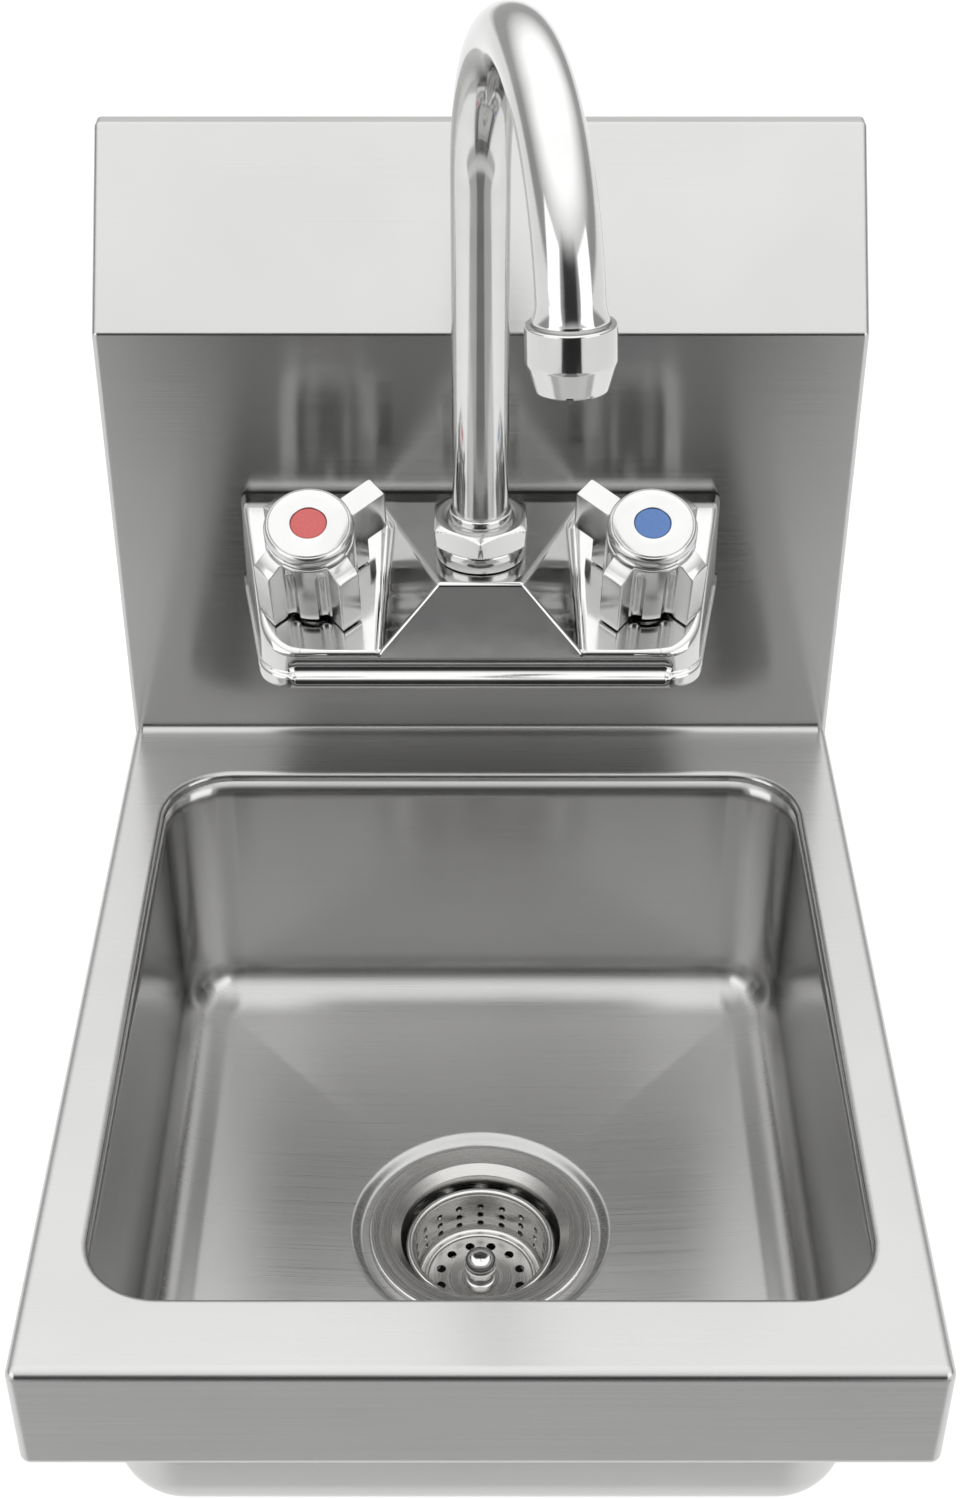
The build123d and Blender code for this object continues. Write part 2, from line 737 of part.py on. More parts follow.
def make_inlet_nut(side):
    nut = hexagon(nut_flats, nut_height) - rod(shank_radius + thread_clearance, 0, nut_height)
    return along_y(nut, side * inlet_spacing / 2, face_y + sheet + nut_washer, inlet_z)


# Spout: foot, O-rings, thrust ring, nut and the arched tube

shoulder_z = body_top_z + boss_height + thrust_height + seat_gap
tube_foot_z = shoulder_z + shoulder_height
nut_low_z = body_top_z + nut_gap
nut_top_z = nut_low_z + nut_flange_height + hex_height
at_spout = Pos(0, spout_y, 0)


def make_spout_nut():
    circle = hex_flats / 2
    hex_low = nut_low_z + nut_flange_height
    flange = rod(nut_flange_radius, nut_low_z, hex_low)
    flange = fillet(flange.edges().group_by(Axis.Z)[-1], 0.6)
    cone = turned(
        (
            (0, hex_low),
            (circle, hex_low),
            (circle + 2 * hex_chamfer, hex_low + hex_chamfer),
            (circle + 2 * hex_chamfer, nut_top_z - hex_chamfer),
            (circle, nut_top_z),
            (0, nut_top_z),
        )
    )
    bar = Pos(0, 0, hex_low) * hexagon(hex_flats, hex_height)
    collar = rod(collar_radius, nut_top_z, nut_top_z + collar_height)
    collar = fillet(collar.edges().group_by(Axis.Z)[-1], 0.7)
    nut = flange + (bar & cone) + collar
    nut -= rod(tube_radius + collar_clearance, nut_low_z, nut_top_z + collar_height)
    nut -= rod(boss_radius + thread_clearance, nut_low_z, tube_foot_z + seat_gap)
    return at_spout * nut


def make_thrust_ring():
    low = body_top_z + boss_height
    return at_spout * tube(shoulder_radius, swivel_radius + collar_clearance, low, low + thrust_height)


def make_spout_foot():
    low = body_top_z + boss_height - swivel_length + seat_gap
    foot = rod(swivel_radius, low, shoulder_z) + rod(shoulder_radius, shoulder_z, tube_foot_z)
    foot += rod(tube_radius - tube_wall - thread_clearance, tube_foot_z, tube_foot_z + foot_spigot)
    foot -= rod(foot_bore, low, tube_foot_z + foot_spigot)
    for place in ring_places:
        z = shoulder_z - place
        groove = tube(swivel_radius, swivel_radius - ring_groove, z - ring_groove / 2, z + ring_groove / 2)
        foot -= groove
    return at_spout * foot


def make_o_rings():
    rings = []
    for place in ring_places:
        ring = Torus(swivel_radius - ring_groove / 2, ring_groove / 2)
        rings.append(at_spout * Pos(0, 0, shoulder_z - place) * ring)
    return Compound(children=[ring.solid() for ring in rings])


swing = radians(spout_swing)
ahead = Vector(sin(swing), -cos(swing), 0)
arch_plane = Plane(origin=(0, spout_y, deck_z), x_dir=ahead, z_dir=(-cos(swing), -sin(swing), 0))
outlet_point = arch_plane.from_local_coords(
    (
        arch_radius * (1 - cos(radians(arch_turn))),
        arch_centre + arch_radius * sin(radians(arch_turn)),
    )
)
outlet_way = ahead * sin(radians(arch_turn)) + Vector(0, 0, cos(radians(arch_turn)))
outlet_plane = Plane(origin=outlet_point, x_dir=ahead.cross(Vector(0, 0, 1)), z_dir=outlet_way)


def arch(radius):
    """Bar along the spout's centre line: straight up, then round the arch."""
    upright = at_spout * rod(radius, tube_foot_z, deck_z + arch_centre)
    middle = arch_plane.from_local_coords((arch_radius, arch_centre))
    section = at_spout * Pos(0, 0, deck_z + arch_centre) * Circle(radius)
    bend = revolve(section, Axis(middle, arch_plane.z_dir * -1), revolution_arc=arch_turn)
    return upright + bend


def make_spout():
    bead_z = nut_top_z + collar_height
    bead = Pos(0, 0, bead_z + foot_bead * 0.4) * Torus(tube_radius - foot_bead * 0.6, foot_bead)
    flare = turned(
        (
            (0, -flare_length),
            (tube_radius - 0.5, -flare_length),
            (tube_radius + 0.2, -flare_length * 0.55),
            (flare_radius, 0),
            (0, 0),
        ),
        (0, 0, 4.0, 0, 0),
    )
    spigot = rod(outlet_spigot, -flare_length, outlet_spigot_length)
    outside = arch(tube_radius) + at_spout * bead + outlet_plane * (flare + spigot)
    bore = arch(tube_radius - tube_wall)
    return outside - bore - outlet_plane * rod(outlet_waterway, -flare_length, outlet_spigot_length)


insert_low = outlet_spigot_length + washer_thickness
collar_foot = outlet_collar_height + outlet_tip_height


def make_aerator_shell():
    shell = turned(
        (
            (0, 0),
            (outlet_collar_radius, 0),
            (outlet_collar_radius, outlet_collar_height),
            (outlet_tip_radius, collar_foot),
            (0, collar_foot),
        ),
        (0, 0.7, 0, 0.8, 0),
    )
    shell -= rod(outlet_spigot + thread_clearance, 0, insert_low)
    shell -= rod(insert_radius + thread_clearance, insert_low, collar_foot)
    notch = block(outlet_spigot, outlet_collar_radius, -notch_width / 2, notch_width / 2,
                  collar_foot - notch_depth, collar_foot)
    for angle in notch_angles:
        shell -= Rot(0, 0, angle) * notch
    return outlet_plane * shell


def make_aerator_washer():
    return outlet_plane * tube(outlet_spigot - 0.2, outlet_waterway - 1, outlet_spigot_length, insert_low)


def make_aerator_insert():
    foot = collar_foot - 0.8
    ring = tube(insert_radius, insert_radius - insert_wall, insert_low, foot)
    screen_low = foot - 2 * screen_thickness
    screen = rod(insert_radius - insert_wall / 2, screen_low, screen_low + screen_thickness)
    hole = rod(screen_hole, screen_low, foot)
    holes = [hole]
    for ring_number in (1, 2, 3):
        count = 6 * ring_number
        reach = ring_number * 3 * screen_hole
        holes += [Rot(0, 0, 360 * k / count) * Pos(reach, 0, 0) * hole for k in range(count)]
    return outlet_plane * (ring + screen - holes)


# Handles, drawn about their own axis with Z up from the pod's face

def lobe(radius, height, top_radius, top_height):
    """One lobe along +X, bevelled on top."""
    side = (
        (0, handle_gap),
        (radius, handle_gap),
        (radius, height),
        (top_radius, top_height),
        (0, top_height),
    )
    face = make_face(Plane.XZ * Polyline(*side, close=True))
    return extrude(face, amount=lobe_width / 2, both=True)


def handle_shape():
    """Right handle: barrel, four lobes with one long lever, flutes, neck and cap."""
    neck_z = handle_height - cap_height
    barrel = rod(barrel_radius, barrel_gap, lobe_top_height)
    knob = barrel
    lever_turn = 180 - lever_angle
    for step in range(1, 4):
        arm = lobe(lobe_radius, lobe_height, lobe_top_radius, lobe_top_height)
        knob += Rot(0, 0, lever_turn + 90 * step) * arm
    lever_bevel = lobe(lever_radius, lever_height - 1.2, lever_radius - 1.2, lever_height)
    under = block(lobe_radius, lever_radius + 1, -lobe_width, lobe_width, 0, lever_height * 0.42)
    knob += Rot(0, 0, lever_turn) * (lever_bevel - under)
    flute = Pos(flute_centre, 0, 0) * rod(flute_radius, 0, lobe_height - flute_radius)
    flute += Pos(flute_centre, 0, lobe_height - flute_radius) * Sphere(flute_radius)
    for step in range(4):
        for way in (-1, 1):
            knob -= Rot(0, 0, lever_turn + 90 * step + way * flute_offset) * flute
    cap = turned(
        (
            (0, lobe_top_height - 1),
            (barrel_radius, lobe_top_height - 1),
            (barrel_radius, lobe_top_height),
            (cap_rim_radius, neck_z + 1.0),
            (cap_rim_radius, handle_height - 1.8),
            (cap_radius, handle_height),
            (0, handle_height),
        ),
        (0, 0, 0, neck_round, 0.8, 0.4, 0),
    )
    knob += cap
    knob -= rod(handle_cavity_radius, 0, handle_cavity_height)
    knob -= rod(index_radius + index_clearance, handle_height - index_recess, handle_height)
    head_low = handle_height - index_recess - screw_head_height - 1.6
    knob -= rod(screw_head_radius + 0.3, head_low, handle_height)
    knob -= rod(stem_radius + stem_clearance, 0, head_low - screw_web)
    knob -= rod(screw_radius + 0.3, 0, handle_height)
    return knob


screw_seat = handle_height - index_recess - screw_head_height - 1.6
stem_top = screw_seat - screw_web


def on_handle(shape, side):
    """Put a solid drawn for the right handle on either pod."""
    placed = handle_plane(1) * shape
    return placed if side > 0 else mirror(placed, about=Plane.YZ)


def make_index():
    disc = rod(index_radius, handle_height - index_recess, handle_height - index_recess + index_thickness)
    return fillet(disc.edges().group_by(Axis.Z)[-1], 0.5)


def make_handle_screw():
    head = rod(screw_head_radius, screw_seat, screw_seat + screw_head_height)
    cross = block(-2.2, 2.2, -0.5, 0.5, screw_seat + 1.2, screw_seat + screw_head_height)
    head = head - cross - Rot(0, 0, 90) * cross
    return head + rod(screw_radius, screw_seat - screw_length, screw_seat)


def make_stem():
    spindle = rod(stem_radius, -stem_foot, stem_top)
    spindle = chamfer(spindle.edges().group_by(Axis.Z)[-1], 0.5)
    return spindle - rod(screw_radius + thread_clearance, screw_seat - screw_length - 1, stem_top)


def make_cartridge():
    shell = rod(cartridge_radius, -socket_depth, 0) + rod(cartridge_neck, 0, cartridge_height)
    side = cartridge_radius
    window = block(-side, side, -water_bore, water_bore, -socket_depth, -stem_foot - 1)
    return shell - rod(stem_radius + stem_clearance, -stem_foot - 1, cartridge_height) - window


def make_bonnet_nut():
    nut = hexagon(bonnet_flats, bonnet_height)
    return nut - rod(cartridge_neck + thread_clearance, 0, bonnet_height)


at_drain = Pos(0, bowl_y, 0)
nodes = {
    "deck": make_deck(),
    "backsplash": make_backsplash(),
    "wall_bracket": make_wall_bracket(),
    "bowl": make_bowl(),
    "strainer_body": at_drain * make_strainer_body(),
    "sink_gasket": at_drain * make_sink_gasket(),
    "friction_ring": at_drain * make_friction_ring(),
    "strainer_locknut": at_drain * make_strainer_locknut(),
    "tailpiece_washer": at_drain * make_tailpiece_washer(),
    "tailpiece": at_drain * make_tailpiece(),
    "slip_nut": at_drain * make_slip_nut(),
    "basket": at_drain * make_basket(),
    "basket_knob": at_drain * make_basket_knob(),
    "basket_stopper": at_drain * make_basket_stopper(),
    "faucet_body": make_faucet_body(),
    "faucet_gasket": make_faucet_gasket(),
    "spout_nut": make_spout_nut(),
    "thrust_ring": make_thrust_ring(),
    "spout_foot": make_spout_foot(),
    "spout_o_rings": make_o_rings(),
    "spout": make_spout(),
    "aerator_shell": make_aerator_shell(),
    "aerator_washer": make_aerator_washer(),
    "aerator_insert": make_aerator_insert(),
}
handle = handle_shape()
for label, side in (("hot", -1), ("cold", 1)):
    nodes["inlet_shank_" + label] = make_inlet_shank(side)
    nodes["inlet_washer_" + label] = make_inlet_washer(side)
    nodes["inlet_nut_" + label] = make_inlet_nut(side)
    nodes["handle_" + label] = on_handle(handle, side)
    nodes["index_" + label] = on_handle(make_index(), side)
    nodes["handle_screw_" + label] = on_handle(make_handle_screw(), side)
    nodes["stem_" + label] = on_handle(make_stem(), side)
    nodes["cartridge_" + label] = on_handle(make_cartridge(), side)
    nodes["bonnet_nut_" + label] = on_handle(make_bonnet_nut(), side)

os.makedirs("parts", exist_ok=True)
for name, shape in nodes.items():
    export_step(shape, os.path.join("parts", name + ".step"))
    print(name, "solids", len(shape.solids()), "volume", round(shape.volume, 1))
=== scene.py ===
import json
import math
import bpy
import bmesh
import numpy as np
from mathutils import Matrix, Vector


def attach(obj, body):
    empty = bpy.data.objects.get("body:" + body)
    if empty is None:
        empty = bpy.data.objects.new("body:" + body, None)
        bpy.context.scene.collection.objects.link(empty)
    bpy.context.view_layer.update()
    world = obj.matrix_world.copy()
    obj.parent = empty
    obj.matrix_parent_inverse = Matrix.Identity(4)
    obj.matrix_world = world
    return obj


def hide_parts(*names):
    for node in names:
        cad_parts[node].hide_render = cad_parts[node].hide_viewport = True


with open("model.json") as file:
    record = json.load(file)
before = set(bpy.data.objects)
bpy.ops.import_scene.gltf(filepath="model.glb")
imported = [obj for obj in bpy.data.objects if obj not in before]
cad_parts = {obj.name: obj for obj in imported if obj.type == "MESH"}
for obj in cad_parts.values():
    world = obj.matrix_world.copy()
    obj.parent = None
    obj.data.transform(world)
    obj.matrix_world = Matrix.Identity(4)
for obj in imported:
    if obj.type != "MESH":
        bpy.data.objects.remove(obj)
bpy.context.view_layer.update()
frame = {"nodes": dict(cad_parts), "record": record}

print("frame loaded, nodes:", len(frame["nodes"]))

# Measures in the dictionaries are in mm, in the frame of the part: X right, Y to the wall, Z up
mm = 0.001
spoutY = -108 * mm           # swivel axis of the gooseneck
bowlY = -237 * mm            # middle of the bowl, and axis of the drain


# Small numpy tools that the pieces share

def smoothStep(low, high, value):
    # 0 below low, 1 above high, and 3t^2 - 2t^3 between
    t = np.clip((value - low) / (high - low), 0, 1)
    return t * t * (3 - 2 * t)


def softMax(a, b, size):
    # the larger of two lengths, with a fillet of about this size where they cross
    h = np.clip(0.5 + 0.5 * (a - b) / size, 0, 1)
    return b * (1 - h) + a * h + size * h * (1 - h)


def softMin(a, b, size):
    # the smaller of two lengths, eased in the same way
    return -softMax(-a, -b, size)


def linkNew(name, data):
    # an object at the origin for a mesh, a lamp or the camera
    built = bpy.data.objects.new(name, data)
    bpy.context.scene.collection.objects.link(built)
    return built


def addMesh(name, vertices, faces):
    # vertices as an array of (x, y, z) in metres, faces as lists of their numbers
    mesh = bpy.data.meshes.new(name)
    mesh.from_pydata(vertices.tolist(), [], faces)
    return linkNew(name, mesh)


def tidyMesh(built, gap=1e-6):
    # poles and seams are merged before the normals are turned outwards
    work = bmesh.new()
    work.from_mesh(built.data)
    bmesh.ops.remove_doubles(work, verts=work.verts, dist=gap)
    bmesh.ops.recalc_face_normals(work, faces=work.faces)
    work.to_mesh(built.data)
    work.free()
    for face in built.data.polygons:
        face.use_smooth = True


def gridPiece(name, points, closeAlong=False):
    # points[i, j] is the surface at step i along the profile and step j round it, where it closes
    rows, columns = points.shape[:2]
    i = np.arange(rows if closeAlong else rows - 1)[:, None]
    j = np.arange(columns)[None, :]
    nextI, nextJ = (i + 1) % rows, (j + 1) % columns
    corners = (i * columns + j, i * columns + nextJ, nextI * columns + nextJ, nextI * columns + j)
    built = addMesh(name, points.reshape(-1, 3), np.stack(corners, -1).reshape(-1, 4).tolist())
    tidyMesh(built)
    return built


def turnedGrid(radius, height, columns):
    # radius and height per row, or per row and column, carried round Z: x = r cos a, y = r sin a, z = h
    a = np.linspace(0, 2 * np.pi, columns, endpoint=False)
    r, h = radius + 0 * a, height + 0 * a
    return np.stack([r * np.cos(a), r * np.sin(a), h], -1)


def dress(built, bodyName, material, slot, *nodes):
    # a piece's finish, the body it rides on, and the nodes it stands in for; the slot argument is not used
    built.data.materials.clear()
    built.data.materials.append(material)
    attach(built, bodyName)
    if nodes:
        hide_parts(*nodes)
    return built


# Materials

def startMaterial(name):
    # every pattern reads Object coordinates, so it stays on its piece when that moves
    material = bpy.data.materials.new(name)
    material.use_nodes = True
    nodes, links = material.node_tree.nodes, material.node_tree.links
    shader = nodes["Principled BSDF"]
    place = nodes.new("ShaderNodeTexCoord")
    return material, nodes, links, shader, place.outputs["Object"]


def stretchedNoise(nodes, links, place, stretch, detail=3.0):
    # noise of place times stretch: the larger the number, the shorter its clouds that way
    mapping = nodes.new("ShaderNodeMapping")
    mapping.inputs["Scale"].default_value = stretch
    links.new(place, mapping.inputs["Vector"])
    noise = nodes.new("ShaderNodeTexNoise")
    noise.inputs["Scale"].default_value = 1.0
    noise.inputs["Detail"].default_value = detail
    links.new(mapping.outputs["Vector"], noise.inputs["Vector"])
    return noise.outputs["Fac"]


def spread(nodes, links, value, low, high, start=0.3, end=0.7):
    # a value from start to end becomes one from low to high, held at both ends
    ramp = nodes.new("ShaderNodeMapRange")
    ramp.inputs["From Min"].default_value = start
    ramp.inputs["From Max"].default_value = end
    ramp.inputs["To Min"].default_value = low
    ramp.inputs["To Max"].default_value = high
    links.new(value, ramp.inputs["Value"])
    return ramp.outputs["Result"]


def feed(links, sockets, values):
    # a number is set on its socket, an output is linked to it
    for socket, value in zip(sockets, values):
        if isinstance(value, (int, float)):
            socket.default_value = value
        else:
            links.new(value, socket)


def mixValues(nodes, links, factor, a, b):
    # a (1 - factor) + b factor
    mix = nodes.new("ShaderNodeMix")
    mix.data_type = "FLOAT"
    feed(links, (mix.inputs[0], mix.inputs[2], mix.inputs[3]), (factor, a, b))
    return mix.outputs[0]


def math2(nodes, links, operation, a, b=0.0):
    # one step of arithmetic on two values
    step = nodes.new("ShaderNodeMath")
    step.operation = operation
    feed(links, step.inputs, (a, b))
    return step.outputs[0]


def tintedGrey(nodes, links, value, tint):
    # red, green and blue are the value times the shares of the tint
    combine = nodes.new("ShaderNodeCombineColor")
    for socket, share in zip(combine.inputs, tint):
        links.new(math2(nodes, links, "MULTIPLY", value, share), socket)
    return combine.outputs[0]


def addBump(nodes, links, shader, height, strength, distance):
    # the surface seems raised by height times distance, in metres
    bump = nodes.new("ShaderNodeBump")
    bump.inputs["Strength"].default_value = strength
    bump.inputs["Distance"].default_value = distance
    links.new(height, bump.inputs["Height"])
    links.new(bump.outputs[0], shader.inputs["Normal"])


brushed = {
    "grey": 0.51, "greyLow": 0.47, "tint": (1.0, 0.997, 0.985),
    "roughLevel": (0.25, 0.36), "roughUpright": (0.15, 0.23), "anisotropy": 0.85,
    "along": 9.0, "across": 2600.0,              # noise scales along and across the grain
    "levelFrom": (0.55, 0.8),                    # how far a face has to look up to count as level
    "cloud": (14.0, 14.0, 14.0), "cloudRange": (0.97, 1.02), "bump": 0.05, "bumpDepth": 0.0002,
}


def brushedSheet():
    # streaks run along X on level faces and round the walls on upright ones
    material, nodes, links, shader, place = startMaterial("brushedSheet")
    along, across = brushed["along"], brushed["across"]
    level = stretchedNoise(nodes, links, place, (along, across, along))
    upright = stretchedNoise(nodes, links, place, (along, along, across))
    geometry = nodes.new("ShaderNodeNewGeometry")
    split = nodes.new("ShaderNodeSeparateXYZ")
    links.new(geometry.outputs["Normal"], split.inputs[0])
    facingUp = math2(nodes, links, "ABSOLUTE", split.outputs[2])
    isLevel = spread(nodes, links, facingUp, 0, 1, *brushed["levelFrom"])
    streak = mixValues(nodes, links, isLevel, upright, level)
    cloud = stretchedNoise(nodes, links, place, brushed["cloud"], 2.0)
    fine = spread(nodes, links, streak, brushed["greyLow"], brushed["grey"], 0.25, 0.75)
    soft = spread(nodes, links, cloud, *brushed["cloudRange"])
    grey = math2(nodes, links, "MULTIPLY", fine, soft)
    links.new(tintedGrey(nodes, links, grey, brushed["tint"]), shader.inputs["Base Color"])
    roughUp = spread(nodes, links, streak, *brushed["roughLevel"], 0.2, 0.8)
    roughSide = spread(nodes, links, streak, *brushed["roughUpright"], 0.2, 0.8)
    links.new(mixValues(nodes, links, isLevel, roughSide, roughUp), shader.inputs["Roughness"])
    shader.inputs["Metallic"].default_value = 1.0
    shader.inputs["Anisotropic"].default_value = brushed["anisotropy"]
    # the blur runs across the grain: Y on level faces, Z on upright ones
    blurWay = nodes.new("ShaderNodeCombineXYZ")
    links.new(isLevel, blurWay.inputs[1])
    links.new(math2(nodes, links, "SUBTRACT", 1.0, isLevel), blurWay.inputs[2])
    links.new(blurWay.outputs[0], shader.inputs["Tangent"])
    addBump(nodes, links, shader, streak, brushed["bump"], brushed["bumpDepth"])
    return material


plating = {
    "tint": (1.0, 1.0, 0.99), "cloud": (60.0, 60.0, 60.0), "greyRange": (-0.03, 0.015), "roughRange": 1.8,
    "ripple": (240.0, 240.0, 240.0), "bump": 0.02, "bumpDepth": 0.0003,
}


def chromePlate(name, grey, rough):
    # mirror plating with faint cloudiness and a very slight ripple
    material, nodes, links, shader, place = startMaterial(name)
    cloud = stretchedNoise(nodes, links, place, plating["cloud"])
    darker, lighter = plating["greyRange"]
    shade = spread(nodes, links, cloud, grey + darker, grey + lighter)
    links.new(tintedGrey(nodes, links, shade, plating["tint"]), shader.inputs["Base Color"])
    haze = spread(nodes, links, cloud, rough, rough * plating["roughRange"])
    links.new(haze, shader.inputs["Roughness"])
    shader.inputs["Metallic"].default_value = 1.0
    ripple = stretchedNoise(nodes, links, place, plating["ripple"], 1.0)
    addBump(nodes, links, shader, ripple, plating["bump"], plating["bumpDepth"])
    return material


turned = {
    "grey": (0.55, 0.64), "rough": (0.192, 0.312), "tint": (1.0, 0.99, 0.97), "anisotropy": 0.5,
    "ringsOut": 2200.0, "ringsUp": 1800.0, "bump": 0.04, "bumpDepth": 0.0002,
}


def turnedSteel():
    # rings left by turning: the noise reads the distance from the drain's axis, sqrt(x^2 + y^2), and z
    material, nodes, links, shader, place = startMaterial("turnedSteel")
    centre = nodes.new("ShaderNodeMapping")
    centre.inputs["Location"].default_value = (0, -bowlY, 0)
    links.new(place, centre.inputs["Vector"])
    split = nodes.new("ShaderNodeSeparateXYZ")
    links.new(centre.outputs[0], split.inputs[0])
    squares = [math2(nodes, links, "MULTIPLY", split.outputs[k], split.outputs[k]) for k in (0, 1)]
    radius = math2(nodes, links, "SQRT", math2(nodes, links, "ADD", *squares))
    ring = nodes.new("ShaderNodeCombineXYZ")
    links.new(math2(nodes, links, "MULTIPLY", radius, turned["ringsOut"]), ring.inputs[0])
    links.new(math2(nodes, links, "MULTIPLY", split.outputs[2], turned["ringsUp"]), ring.inputs[1])
    noise = nodes.new("ShaderNodeTexNoise")
    noise.inputs["Scale"].default_value = 1.0
    links.new(ring.outputs[0], noise.inputs["Vector"])
    fine = spread(nodes, links, noise.outputs["Fac"], *turned["grey"])
    links.new(tintedGrey(nodes, links, fine, turned["tint"]), shader.inputs["Base Color"])
    links.new(spread(nodes, links, noise.outputs["Fac"], *turned["rough"]), shader.inputs["Roughness"])
    shader.inputs["Metallic"].default_value = 1.0
    shader.inputs["Anisotropic"].default_value = turned["anisotropy"]
    tangent = nodes.new("ShaderNodeTangent")
    tangent.direction_type = "RADIAL"
    tangent.axis = "Z"
    links.new(tangent.outputs[0], shader.inputs["Tangent"])
    addBump(nodes, links, shader, noise.outputs["Fac"], turned["bump"], turned["bumpDepth"])
    return material


stock = {
    "grain": 180.0, "vary": 0.06, "detail": 4.0, "roughRange": (0.85, 1.2),
    "bump": 0.25, "bumpDepth": 0.00005,
}


def plainFinish(name, color, metallic, rough, grain=stock["grain"], vary=stock["vary"]):
    # moulded, cast or machined stock: a base colour with small clouds, and a fine grain
    material, nodes, links, shader, place = startMaterial(name)
    cloud = stretchedNoise(nodes, links, place, (grain, grain, grain), stock["detail"])
    value = spread(nodes, links, cloud, 1 - vary, 1 + vary * 0.5)
    links.new(tintedGrey(nodes, links, value, color), shader.inputs["Base Color"])
    smoother, rougher = (rough * share for share in stock["roughRange"])
    links.new(spread(nodes, links, cloud, smoother, min(1.0, rougher)), shader.inputs["Roughness"])
    shader.inputs["Metallic"].default_value = metallic
    addBump(nodes, links, shader, cloud, stock["bump"], stock["bumpDepth"])
    return material


finishes = {
    "brushed_sheet": brushedSheet(),
    "bracket_steel": plainFinish("bracketSteel", (0.66, 0.67, 0.68), 1.0, 0.42),
    "polished_chrome": chromePlate("polishedChrome", 0.60, 0.085),
    "strainer_steel": turnedSteel(),
    "valve_brass": plainFinish("valveBrass", (0.76, 0.60, 0.33), 1.0, 0.34),
    "nut_alloy": plainFinish("nutAlloy", (0.62, 0.62, 0.63), 1.0, 0.5, 400.0),
    "tail_chrome": chromePlate("tailChrome", 0.70, 0.09),
    "black_rubber": plainFinish("blackRubber", (0.035, 0.035, 0.038), 0.0, 0.62, 500.0),
    "white_plastic": plainFinish("whitePlastic", (0.84, 0.84, 0.82), 0.0, 0.42),
    "handle_chrome": chromePlate("handleChrome", 0.57, 0.14),
    "fibre_ring": plainFinish("fibreRing", (0.40, 0.22, 0.16), 0.0, 0.8, 900.0, 0.2),
    "hot_red": plainFinish("hotRed", (0.50, 0.085, 0.08), 0.0, 0.22, 900.0, 0.08),
    "cold_blue": plainFinish("coldBlue", (0.06, 0.15, 0.38), 0.0, 0.22, 900.0, 0.08),
}
print("materials made:", len(finishes))


# Pieces kept from the frame: each gets its slot's finish, and the visible ones an evenly shaded copy

slotOf = {part["node"]: part["material_slot"] for part in frame["record"]["subparts"]}
bodies = frame["record"]["behaviour"]["bodies"]
bodyOf = {node: bodyName for bodyName, nodes in bodies.items() for node in nodes}
kept = {
    "merge": 2e-6, "sharp": 24.0,                # metres between doubles, and degrees that stay an edge
    "copied": ("deck", "backsplash", "strainer_body", "basket", "basket_stopper", "aerator_shell",
               "wall_bracket", "tailpiece", "slip_nut", "index_hot", "index_cold", "aerator_insert"),
}
shading = {"weight": 60}


def evenShade(built):
    # large faces lead the shading of the roundings beside them
    shade = built.modifiers.new("evenShade", "WEIGHTED_NORMAL")
    shade.keep_sharp = True
    shade.weight = shading["weight"]


def smoothCopy(node):
    # a merged copy of the node's mesh, whose edges shade smoothly up to the sharp angle
    mesh = frame["nodes"][node].data.copy()
    built = linkNew(node + "_skin", mesh)
    work = bmesh.new()
    work.from_mesh(mesh)
    bmesh.ops.remove_doubles(work, verts=work.verts, dist=kept["merge"])
    for edge in work.edges:
        if len(edge.link_faces) == 2:
            edge.smooth = edge.calc_face_angle(0) < math.radians(kept["sharp"])
    work.to_mesh(mesh)
    work.free()
    if mesh.has_custom_normals:
        bpy.context.view_layer.objects.active = built
        bpy.ops.mesh.customdata_custom_splitnormals_clear()
    for face in mesh.polygons:
        face.use_smooth = True
    evenShade(built)
    return dress(built, bodyOf[node], finishes[slotOf[node]], slotOf[node], node)


for node, part in frame["nodes"].items():
    part.data.materials.clear()
    part.data.materials.append(finishes[slotOf[node]])
for node in kept["copied"]:
    smoothCopy(node)
print("frame pieces dressed")


# Bowl: rings of a rounded rectangle that sink down the wall, round the cove and run in to the drain

bowl = {
    "width": 266.0, "length": 284.8, "corner": 27.0, "draft": 0.6, "rimZ": -216.0, "floorZ": -334.0,
    "cove": 21.0, "fall": 4.4, "patch": 46.0, "crease": 0.015, "sheet": 1.2,
    "recess": (48.2, 53.8), "recessDepth": 3.2, "hole": 36.1,
    "floorEnd": 2.0, "seatStart": 1.5, "seatEnd": 1.0,       # how far from the recess the rows stop
    "wallRows": 10, "coveRows": 26, "floorRows": 26, "seatRows": 30, "sideSteps": 44, "cornerSteps": 24,
}


def bowlRings(inset):
    # one rounded rectangle per inset: arcs about fixed centres, whose radius is the corner's less the
    # inset, and straight runs between them
    corner = bowl["corner"]
    centres = np.array([(1, 1), (-1, 1), (-1, -1), (1, -1)])
    centres = centres * (bowl["width"] / 2 - corner, bowl["length"] / 2 - corner)
    radius = corner - inset[:, None, None]
    run = np.linspace(0, 1, bowl["sideSteps"], endpoint=False)[1:, None]
    stretches = []
    for k in range(4):
        a = k * np.pi / 2 + np.linspace(0, np.pi / 2, bowl["cornerSteps"])
        ray = np.stack([np.cos(a), np.sin(a)], -1)
        arc = centres[k] + radius * ray
        start, end = arc[:, -1:], centres[(k + 1) % 4] + radius * ray[-1:]
        stretches += [arc, start + (end - start) * run]
    return np.concatenate(stretches, 1)


